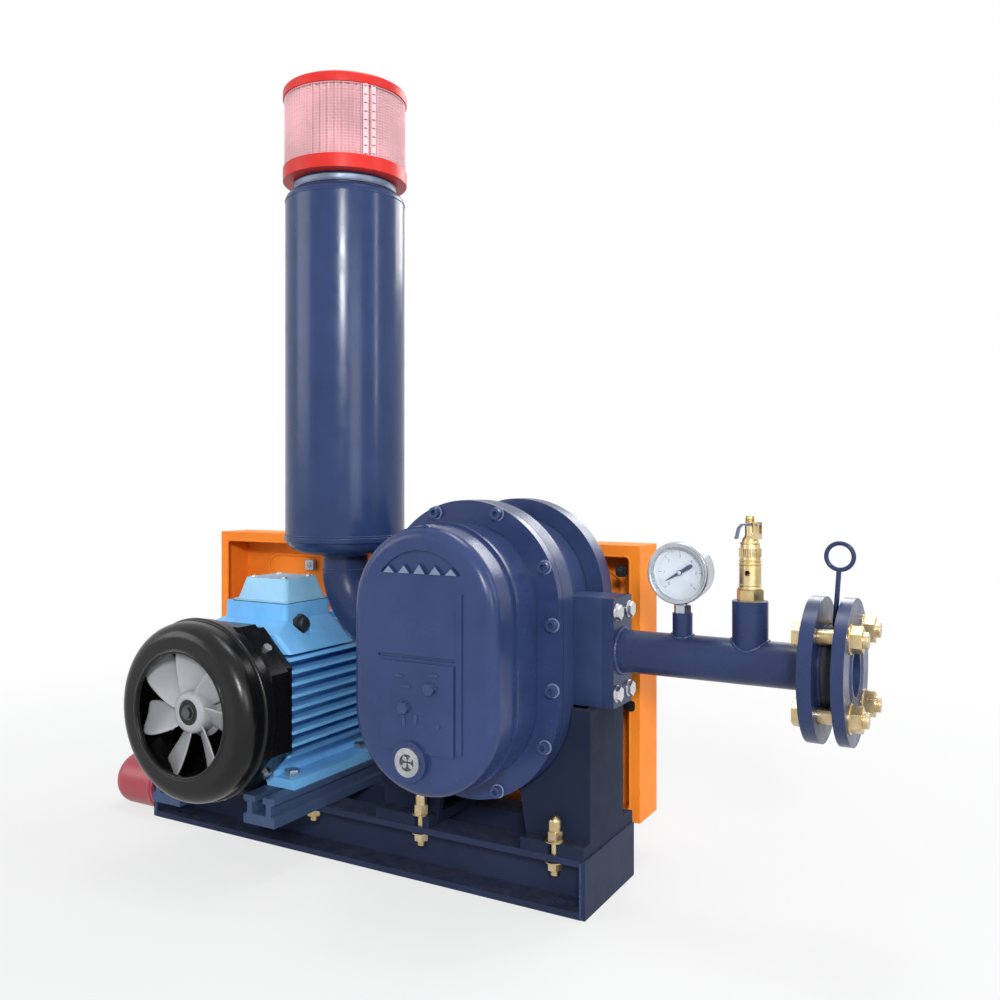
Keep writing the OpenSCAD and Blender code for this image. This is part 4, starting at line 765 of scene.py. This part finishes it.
# ---------------------------------------------------------------- blower
def cover_marks():
    """Tips under the brow in pale grey enamel as a painted glint, and the plain cast marks above the sight
    glass.
    """
    bm = begin()
    for i in range(-2, 3):
        x, rise = BLOWER_X + 20 * i, 10.2 - 1.5 * abs(i)
        outline = [(-7.4, 0.2), (7.4, 0.2), (3.8, rise * 0.5), (0, rise), (-3.8, rise * 0.5)]
        prism(bm, outline, -1.8, -0.6, at_face(x, COVER_Y, HIGH_Z + 40.6), 0.5)
    close_piece(bm, "brow_glint_tips", "machine", "glint_and_washer_grey")

    bm = begin()
    marks = ((180.5, 262.0, 13, 3.4, 0.0), (213.5, 263.4, 15, 3.4, 0.06), (178.5, 224.0, 3.4, 14, 0.1),
             (193.6, 227.5, 4.2, 11, -0.1), (222.0, 223.4, 4.4, 4.4, 0.0), (172.4, 272.6, 9, 2.6, 0.0),
             (216.4, 276.6, 12, 2.6, 0.0))
    for x, z, w, h, turn in marks:
        prism(bm, round_plate(w, h, min(w, h) * 0.42, 4), -1.4, 0.8,
              at_face(x, COVER_Y - 2.5, z) @ Matrix.Rotation(turn, 4, "Z"), 0.55)
    close_piece(bm, "cast_marks", "machine", "plug_navy")


def sight_window():
    """Prism window behind its glass, over the dark oil."""
    x, z, y = BLOWER_X - 11, LOW_Z - 52, COVER_Y - 9
    bm = begin()
    lathe(bm, [(0, 4.9), (9.3, 4.9), (9.3, 4.0), (0, 4.0)], 48, at_face(x, y, z))
    close_piece(bm, "oil_well", "machine", "seal_rubber")
    bm = begin()
    for k in range(4):
        turn = Matrix.Rotation(math.radians(45 + 90 * k), 4, "Z")
        prism(bm, [(1.6, -0.7), (5.2, -2.6), (8.2, -1.6), (8.2, 1.6), (5.2, 2.6), (1.6, 0.7)], 2.4, 4.2,
              at_face(x, y, z) @ turn, 0.4)
    close_piece(bm, "oil_prism", "machine", "sight_steel")
    bm = begin()
    lathe(bm, [(0, 0.8), (6.0, 1.0), (8.9, 1.6), (8.9, 2.6), (0, 2.2)], 48, at_face(x, y, z))
    close_piece(bm, "sight_lens", "machine", "lens_glass")
    bm = begin()
    for k in range(36):
        a = 2 * math.pi * k / 36
        tube(bm, [(x + 15.3 * math.cos(a), y + 0.5, z + 15.3 * math.sin(a)),
                  (x + 15.3 * math.cos(a), y + 2.6, z + 15.3 * math.sin(a))], 0.75, 6)
    close_piece(bm, "sight_knurl", "machine", "sight_steel")


def blower_trim():
    """Washers, studs and joints of the castings, welds of the base and ribs of its red cap."""
    # Joint washers under the cap screws and the foot nuts
    bm = begin()
    for side, centre in ((1, HIGH_Z), (-1, LOW_Z)):
        spots = [(SCREW_RING * math.cos(a), centre + side * SCREW_RING * math.sin(a))
                 for a in (math.radians(turn) for turn in (24, 68, 112, 156))]
        spots += [(x, BLOWER_Z + side * 36) for x in (-SCREW_RING, SCREW_RING)]
        for x, z in spots:
            washer(bm, at_face(BLOWER_X + x, FLANGE_Y, z), 8.0, 4.0, 1.1)
    close_piece(bm, "screw_washers", "machine", "glint_and_washer_grey")

    bm = begin()
    for columns, rows in ((LEG_STUDS_X, LEG_STUDS_Y), (RAIL_STUDS_X, RAIL_STUDS_Y)):
        for x in columns:
            for y in rows:
                washer(bm, along("z", x, y, CHANNEL_TOP), 11.5, 5.0, 1.6)
                thread(bm, along("-z", x, y, STUD_TIP), 5.0, 5.4)
                if columns is LEG_STUDS_X:
                    washer(bm, along("z", x, y, CHANNEL_TOP + 23), 11.5, 5.0, 1.6)
    close_piece(bm, "stud_washers", "machine", "base_fixings")

    # Washers of the port studs
    bm = begin()
    for sy in (-1, 1):
        for sz in (-1, 1):
            y, z = PORT_Y + sy * 18, BLOWER_Z + sz * 46
            washer(bm, along("x", PORT_PLATE_X - 0.2, y, z), 9.6, 4.0, 1.5)
            washer(bm, along("-x", INLET_X - 14 + 0.2, y, z), 9.6, 4.0, 1.5)
    close_piece(bm, "port_washers", "machine", "blower_fixings")

    # Paper joints squeezed out between the castings
    bm = begin()
    for y in (PLATE_Y - 0.3, CASING_Y - 0.3, DRIVE_Y - 0.3):
        radius = PLATE_R + 0.12 if y < PLATE_Y + 1 else CASING_R + 0.5
        outline = []
        for start, centre in ((0.0, HIGH_Z), (math.pi, LOW_Z)):
            for k in range(49):
                a = start + math.pi * k / 48
                outline.append((radius * math.cos(a), centre - BLOWER_Z + radius * math.sin(a)))
        prism(bm, outline, 0.0, 0.6, at_face(BLOWER_X, y, BLOWER_Z))
    close_piece(bm, "casing_joints", "machine", "seal_rubber")

    # Welds of the base frame's corners and of the stub at its left end
    bm = begin()
    for x in (-334.2, 334.2):
        for y in (-72.2, 72.2):
            bead(bm, [(x, y, 2 + 61 * k / 30) for k in range(31)], 1.5, closed=False)
    bead(bm, ring_points("x", BASE_END - 0.2, STUB_Y, STUB_Z, 30.6, 90), 1.8)
    close_piece(bm, "base_welds", "machine", "weld_navy")

    bm = begin()
    stub = along("-x", BASE_END - 0.3, STUB_Y, STUB_Z)
    lathe(bm, [(36.6, 4), (37.6, 4), (38.2, 5.2), (38.2, 8.6), (37.6, 9.8), (36.6, 9.8)], 72,
          stub, closed=True)
    lathe(bm, [(14.6, 84.6), (15.8, 85.4), (17.2, 85.4), (18.4, 84.6)], 48, stub, closed=True)
    close_piece(bm, "cap_rings", "machine", "cap_red")


# ---------------------------------------------------------------- outlet
def outlet_trim():
    """Welds, washers and threads of the outlet, and the turned detail of the relief valve."""
    bm = begin()
    bead(bm, saddle(GAUGE_X, 11.6, 66), 1.7)
    bead(bm, saddle(RELIEF_X, 19.4, 96), 1.7)
    bead(bm, ring_points("x", PORT_PLATE_X + 0.6, PORT_Y, BLOWER_Z, 25.2, 84), 2.4)
    bead(bm, ring_points("x", FLANGE_X - 6.2, PORT_Y, BLOWER_Z, 25.2, 84), 2.2)
    close_piece(bm, "pipe_welds", "machine", "weld_navy")

    # Washers and chased threads of the flange bolts
    bm = begin()
    for k in range(4):
        a = math.radians(45 + 90 * k)
        y, z = PORT_Y + 55 * math.cos(a), BLOWER_Z + 55 * math.sin(a)
        washer(bm, along("x", END_FACE - 0.2, y, z), 15.2, 7.0, 2.2)
        washer(bm, along("-x", FLANGE_X + 0.2, y, z), 15.2, 7.0, 2.2)
        thread(bm, along("x", 623.6, y, z), 8.0, 4.6, 1.5)
        thread(bm, along("x", 583.4, y, z), 8.0, 13.0, 1.6, crown=False)
    close_piece(bm, "flange_washers", "machine", "base_fixings")

    # Serrated sealing rings of the end flange's face
    bm = begin()
    for r in (29, 32, 35, 38, 41):
        lathe(bm, [(r, -0.4), (r + 0.5, 0.28), (r + 1.0, 0.32), (r + 1.5, -0.4)], 72,
              along("x", END_FACE, PORT_Y, BLOWER_Z), closed=True)
    close_piece(bm, "face_rings", "machine", "pipe_navy")

    # Turned rings, knurl and exhaust rim of the relief valve
    bm = begin()
    top = along("z", RELIEF_X, PORT_Y, SOCKET_Z)
    for z, r in ((13.2, 12.9), (17.0, 11.9), (39.0, 11.7), (43.0, 11.4), (61.5, 10.2)):
        lathe(bm, [(r - 2, z - 1.1), (r - 0.2, z - 1.1), (r + 0.35, z - 0.4), (r + 0.35, z + 0.4),
                   (r - 0.2, z + 1.1), (r - 2, z + 1.1)], 48, top, closed=True)
    for k in range(30):
        a = 2 * math.pi * k / 30
        x, y = RELIEF_X + 11.0 * math.cos(a), PORT_Y + 11.0 * math.sin(a)
        tube(bm, [(x, y, SOCKET_Z + 47), (x, y, SOCKET_Z + 56)], 0.85, 6)
    close_piece(bm, "relief_rings", "machine", "valve_brass")
    bm = begin()
    thread(bm, along("z", RELIEF_X, PORT_Y, RELIEF_TOP + 3), 5.4, 6.2, 1.2, crown=False)
    close_piece(bm, "stem_knob", "stem", "valve_brass")


def digits(text, height):
    """Flat number as a mesh, centred on the origin."""
    curve = bpy.data.curves.new("figure", "FONT")
    curve.body, curve.size = text, height
    curve.align_x, curve.align_y = "CENTER", "CENTER"
    curve.extrude = 0.04
    holder = bpy.data.objects.new("figure", curve)
    bpy.context.scene.collection.objects.link(holder)
    bpy.context.view_layer.update()
    mesh = bpy.data.meshes.new_from_object(holder.evaluated_get(bpy.context.evaluated_depsgraph_get()))
    bpy.data.objects.remove(holder)
    bpy.data.curves.remove(curve)
    return mesh


def gauge_face():
    """Fine scale and small figures of the dial, its spindle cap, and the rolled bezel edge with the relief
    plug on the back of the case.
    """
    front = GAUGE_FRONT + 5.95
    face = at_face(GAUGE_X, front, GAUGE_Z)
    bm = begin()
    for k in range(61):
        a = math.radians(225 - 4.5 * k)
        long_tick = k % 10 == 0
        inner, half = (21.6, 0.28) if long_tick else ((23.0, 0.2) if k % 5 == 0 else (24.0, 0.12))
        prism(bm, [(inner, -half), (25.4, -half), (25.4, half), (inner, half)], -0.12, 0.05,
              face @ Matrix.Rotation(a, 4, "Z"))
    for k in range(7):
        a = math.radians(225 - 45 * k)
        figure = digits(str(k), 4.6)
        before = set(bm.verts)
        bm.from_mesh(figure)
        fresh = [v for v in bm.verts if v not in before]
        place = Matrix.Translation((18.2 * math.cos(a), 18.2 * math.sin(a), -0.08))
        bmesh.ops.transform(bm, matrix=face @ place, verts=fresh)
        bpy.data.meshes.remove(figure)
    close_piece(bm, "dial_scale", "machine", "printed_grey", weighted=False)

    bm = begin()
    button(bm, at_face(GAUGE_X, GAUGE_FRONT + 2.9, GAUGE_Z) @ Matrix.Scale(-1, 4, (0, 0, 1)), 2.4, 1.3)
    close_piece(bm, "needle_cap", "needle", "gauge_steel")

    # Rolled bezel edge and the relief plug on the back of the case
    bm = begin()
    lathe(bm, [(29.6, -4.2), (31.4, -5.4), (33.2, -5.2), (34.3, -3.6), (34.3, -1.4), (33.0, -1.0),
               (29.6, -2.8)], 96, at_face(GAUGE_X, GAUGE_FRONT, GAUGE_Z), closed=True)
    for k in range(48):
        a = 2 * math.pi * k / 48
        x, z = GAUGE_X + 34.0 * math.cos(a), GAUGE_Z + 34.0 * math.sin(a)
        tube(bm, [(x, GAUGE_FRONT + 0.4, z), (x, GAUGE_FRONT + 5.0, z)], 0.42, 6)
    button(bm, at_face(GAUGE_X + 12, GAUGE_FRONT + 27.8, GAUGE_Z + 14), 4.2, 1.6)
    close_piece(bm, "bezel_roll", "machine", "gauge_steel")


# ---------------------------------------------------------------- guard
def guard_trim():
    """Rolled edge of the tray, its grommets, fixings, pressed back and tie block."""
    bm = begin()
    x0, x1, z0, z1 = GUARD_LEFT + 15, GUARD_RIGHT - 15, GUARD_LOW + 15, GUARD_HIGH - 15
    tube(bm, rounded_loop(x0 + 5, x1 - 5, z0 + 5, z1 - 5, 6.2, GUARD_Y + 1.0, 4), 1.7, 8, closed=True)
    close_piece(bm, "guard_hem", "machine", "guard_orange")

    bm = begin()
    for x, z in ((313.0, 368.0), (324.0, 200.0)):
        prism(bm, round_plate(15, 14, 5), -1.8, 1.2, at_face(x, GUARD_Y, z), 0.8)
    close_piece(bm, "guard_grommets", "machine", "seal_rubber")

    bm = begin()
    for x in (-340.0, -190.0, -40.0, 160.0, 300.0):
        for z in (GUARD_LOW + 26, GUARD_HIGH - 26):
            button(bm, at_face(x, GUARD_BACK - 0.1, z), 6.0, 3.2, socket=2.4)
            washer(bm, at_face(x, GUARD_BACK - 0.1, z), 8.6, 3.0, 1.1)
    for x in (-251.0, -219.0, 197.0, 229.0):
        washer(bm, along("z", x, 118, 53.6), 8.0, 3.0, 1.2)
        prism(bm, hexagon(12, 10), -6.0, 0.0, along("z", x, 118, 50.0), 0.5)
        washer(bm, at_face(x, 71.6, 34), 8.0, 3.0, 1.2)
    close_piece(bm, "guard_fixings", "machine", "blower_fixings")

    # Pressed stiffening bead and two rows of louvres in the tray's back
    bm = begin()
    tube(bm, rounded_loop(-310, 268, 114, 341, 22, GUARD_BACK - 1.4, 6), 3.6, 12, closed=True)
    for x in (-200.0, 130.0):
        for k in range(6):
            z = 168 + 24 * k
            hood = [(0.0, 0.6), (0.0, 6.4), (-1.2, 7.8), (-2.6, 7.4), (-5.2, 0.6), (-2.4, -5.4), (0.0, -7.0)]
            place = along("x", x, GUARD_BACK, z) @ Matrix.Rotation(math.pi / 2, 4, "Z")
            prism(bm, [(b, a) for a, b in hood], -34, 34, place, 1.0)
    close_piece(bm, "guard_pressings", "machine", "guard_orange")

    # Tie block on the inside of the tray, seen over the terminal box; its pale enamel is a painted highlight
    bm = begin()
    block(bm, (17, 9, 17), (-238.8, 150.6, 348.8), 2.0)
    button(bm, at_face(-238.8, 146.4, 348.8) @ Matrix.Scale(-1, 4, (0, 0, 1)), 4.6, 2.6, socket=2.0)
    close_piece(bm, "tie_block", "machine", "tie_pale_glint")


for make in (filter_screen, tower_trim, fan_wheel, motor_trim, cover_marks, sight_window, blower_trim,
             outlet_trim, gauge_face, guard_trim):
    make()


# ---------------------------------------------------------------- studio
def studio():
    """Camera, floor, white surroundings and lamps."""
    scene = bpy.context.scene
    scene.view_settings.view_transform = "Standard"
    camera = bpy.data.objects.new("camera", bpy.data.cameras.new("camera"))
    scene.collection.objects.link(camera)
    camera.data.lens, camera.data.sensor_width = 34.56, 36.0
    camera.data.shift_y = -0.019
    camera.data.clip_start, camera.data.clip_end = 0.05, 60.0
    camera.location = (0.7757, -1.0313, 0.482)
    camera.rotation_euler = (math.pi / 2, 0.0, math.radians(29.5))
    scene.camera = camera

    # Pale floor: plain white where it is looked at or mirrored, with the object's shadow kept near it
    white = Finish("pale_floor")
    path = {name: white.node("ShaderNodeLightPath", {}, {}, name)
            for name in ("Is Camera Ray", "Is Glossy Ray", "Is Transmission Ray")}
    seen = (path["Is Camera Ray"] + path["Is Glossy Ray"] + path["Is Transmission Ray"]).clip()
    glow = white.node("ShaderNodeEmission", {}, {"Color": (1.0, 1.0, 1.0), "Strength": 1.0})
    grain = white.noise(6.0, 3.0, 0.5)
    white.put(Base_Color=white.mix(grain, (0.54, 0.54, 0.54), (0.58, 0.58, 0.58)), Roughness=0.9)
    reach_out = white.node("ShaderNodeVectorMath", {"operation": "LENGTH"}, {0: white.place}, "Value")
    far = white.spread(reach_out, 0.55, 1.5)
    lit = white.node("ShaderNodeMixShader", {}, {0: (seen * (0.70 + far * 0.30)).clip(),
                     1: Value(white, white.surface.outputs[0]), 2: glow})
    white.join(white.tree.nodes["Material Output"].inputs["Surface"], lit)
    bm = begin()
    bmesh.ops.create_grid(bm, x_segments=1, y_segments=1, size=30.0)
    mesh = bpy.data.meshes.new("floor")
    bm.to_mesh(mesh)
    bm.free()
    floor = bpy.data.objects.new("floor", mesh)
    scene.collection.objects.link(floor)
    floor.location.z = -0.0005
    mesh.materials.append(white.material)

    world = bpy.data.worlds.new("studio")
    scene.world = world
    world.use_nodes = True
    tree = world.node_tree
    sky = tree.nodes["Background"]
    sky.inputs["Color"].default_value = (0.90, 0.95, 1.0, 1.0)
    sky.inputs["Strength"].default_value = 0.50
    plain = tree.nodes.new("ShaderNodeBackground")
    plain.inputs["Color"].default_value = (1.0, 1.0, 1.0, 1.0)
    plain.inputs["Strength"].default_value = 1.0
    light_path = tree.nodes.new("ShaderNodeLightPath")
    total = light_path.outputs["Is Camera Ray"]
    for name in ("Is Glossy Ray", "Is Transmission Ray"):
        both = tree.nodes.new("ShaderNodeMath")
        both.operation, both.use_clamp = "ADD", True
        tree.links.new(total, both.inputs[0])
        tree.links.new(light_path.outputs[name], both.inputs[1])
        total = both.outputs[0]
    choose = tree.nodes.new("ShaderNodeMixShader")
    tree.links.new(total, choose.inputs[0])
    tree.links.new(sky.outputs[0], choose.inputs[1])
    tree.links.new(plain.outputs[0], choose.inputs[2])
    tree.links.new(choose.outputs[0], tree.nodes["World Output"].inputs["Surface"])

    def lamp(name, place, aim, size, power, colour=(1.0, 1.0, 1.0)):
        light = bpy.data.lights.new(name, "AREA")
        light.shape, light.size, light.size_y = "RECTANGLE", size[0], size[1]
        light.energy, light.color = power, colour
        thing = bpy.data.objects.new(name, light)
        scene.collection.objects.link(thing)
        thing.location = place
        thing.rotation_euler = (Vector(aim) - Vector(place)).to_track_quat("-Z", "Y").to_euler()

    lamp("key", (1.60, -2.50, 1.40), (0.0, 0.0, 0.35), (0.4, 0.4), 56.0)
    lamp("strip", (2.6, 0.4, 1.4), (0.1, 0.0, 0.35), (0.12, 1.4), 13.0, (0.95, 0.97, 1.0))
    lamp("right", (2.3, -1.5, 0.9), (-0.1, 0.0, 0.3), (1.0, 1.0), 14.0)
    lamp("top", (0.3, 0.3, 3.0), (0.1, 0.0, 0.3), (1.2, 0.8), 32.0)
    lamp("back", (0.6, 2.6, 1.8), (0.0, 0.1, 0.4), (1.6, 1.0), 36.0)
    lamp("left", (-2.2, -2.0, 1.3), (-0.1, 0.0, 0.35), (1.6, 1.4), 24.0)


studio()
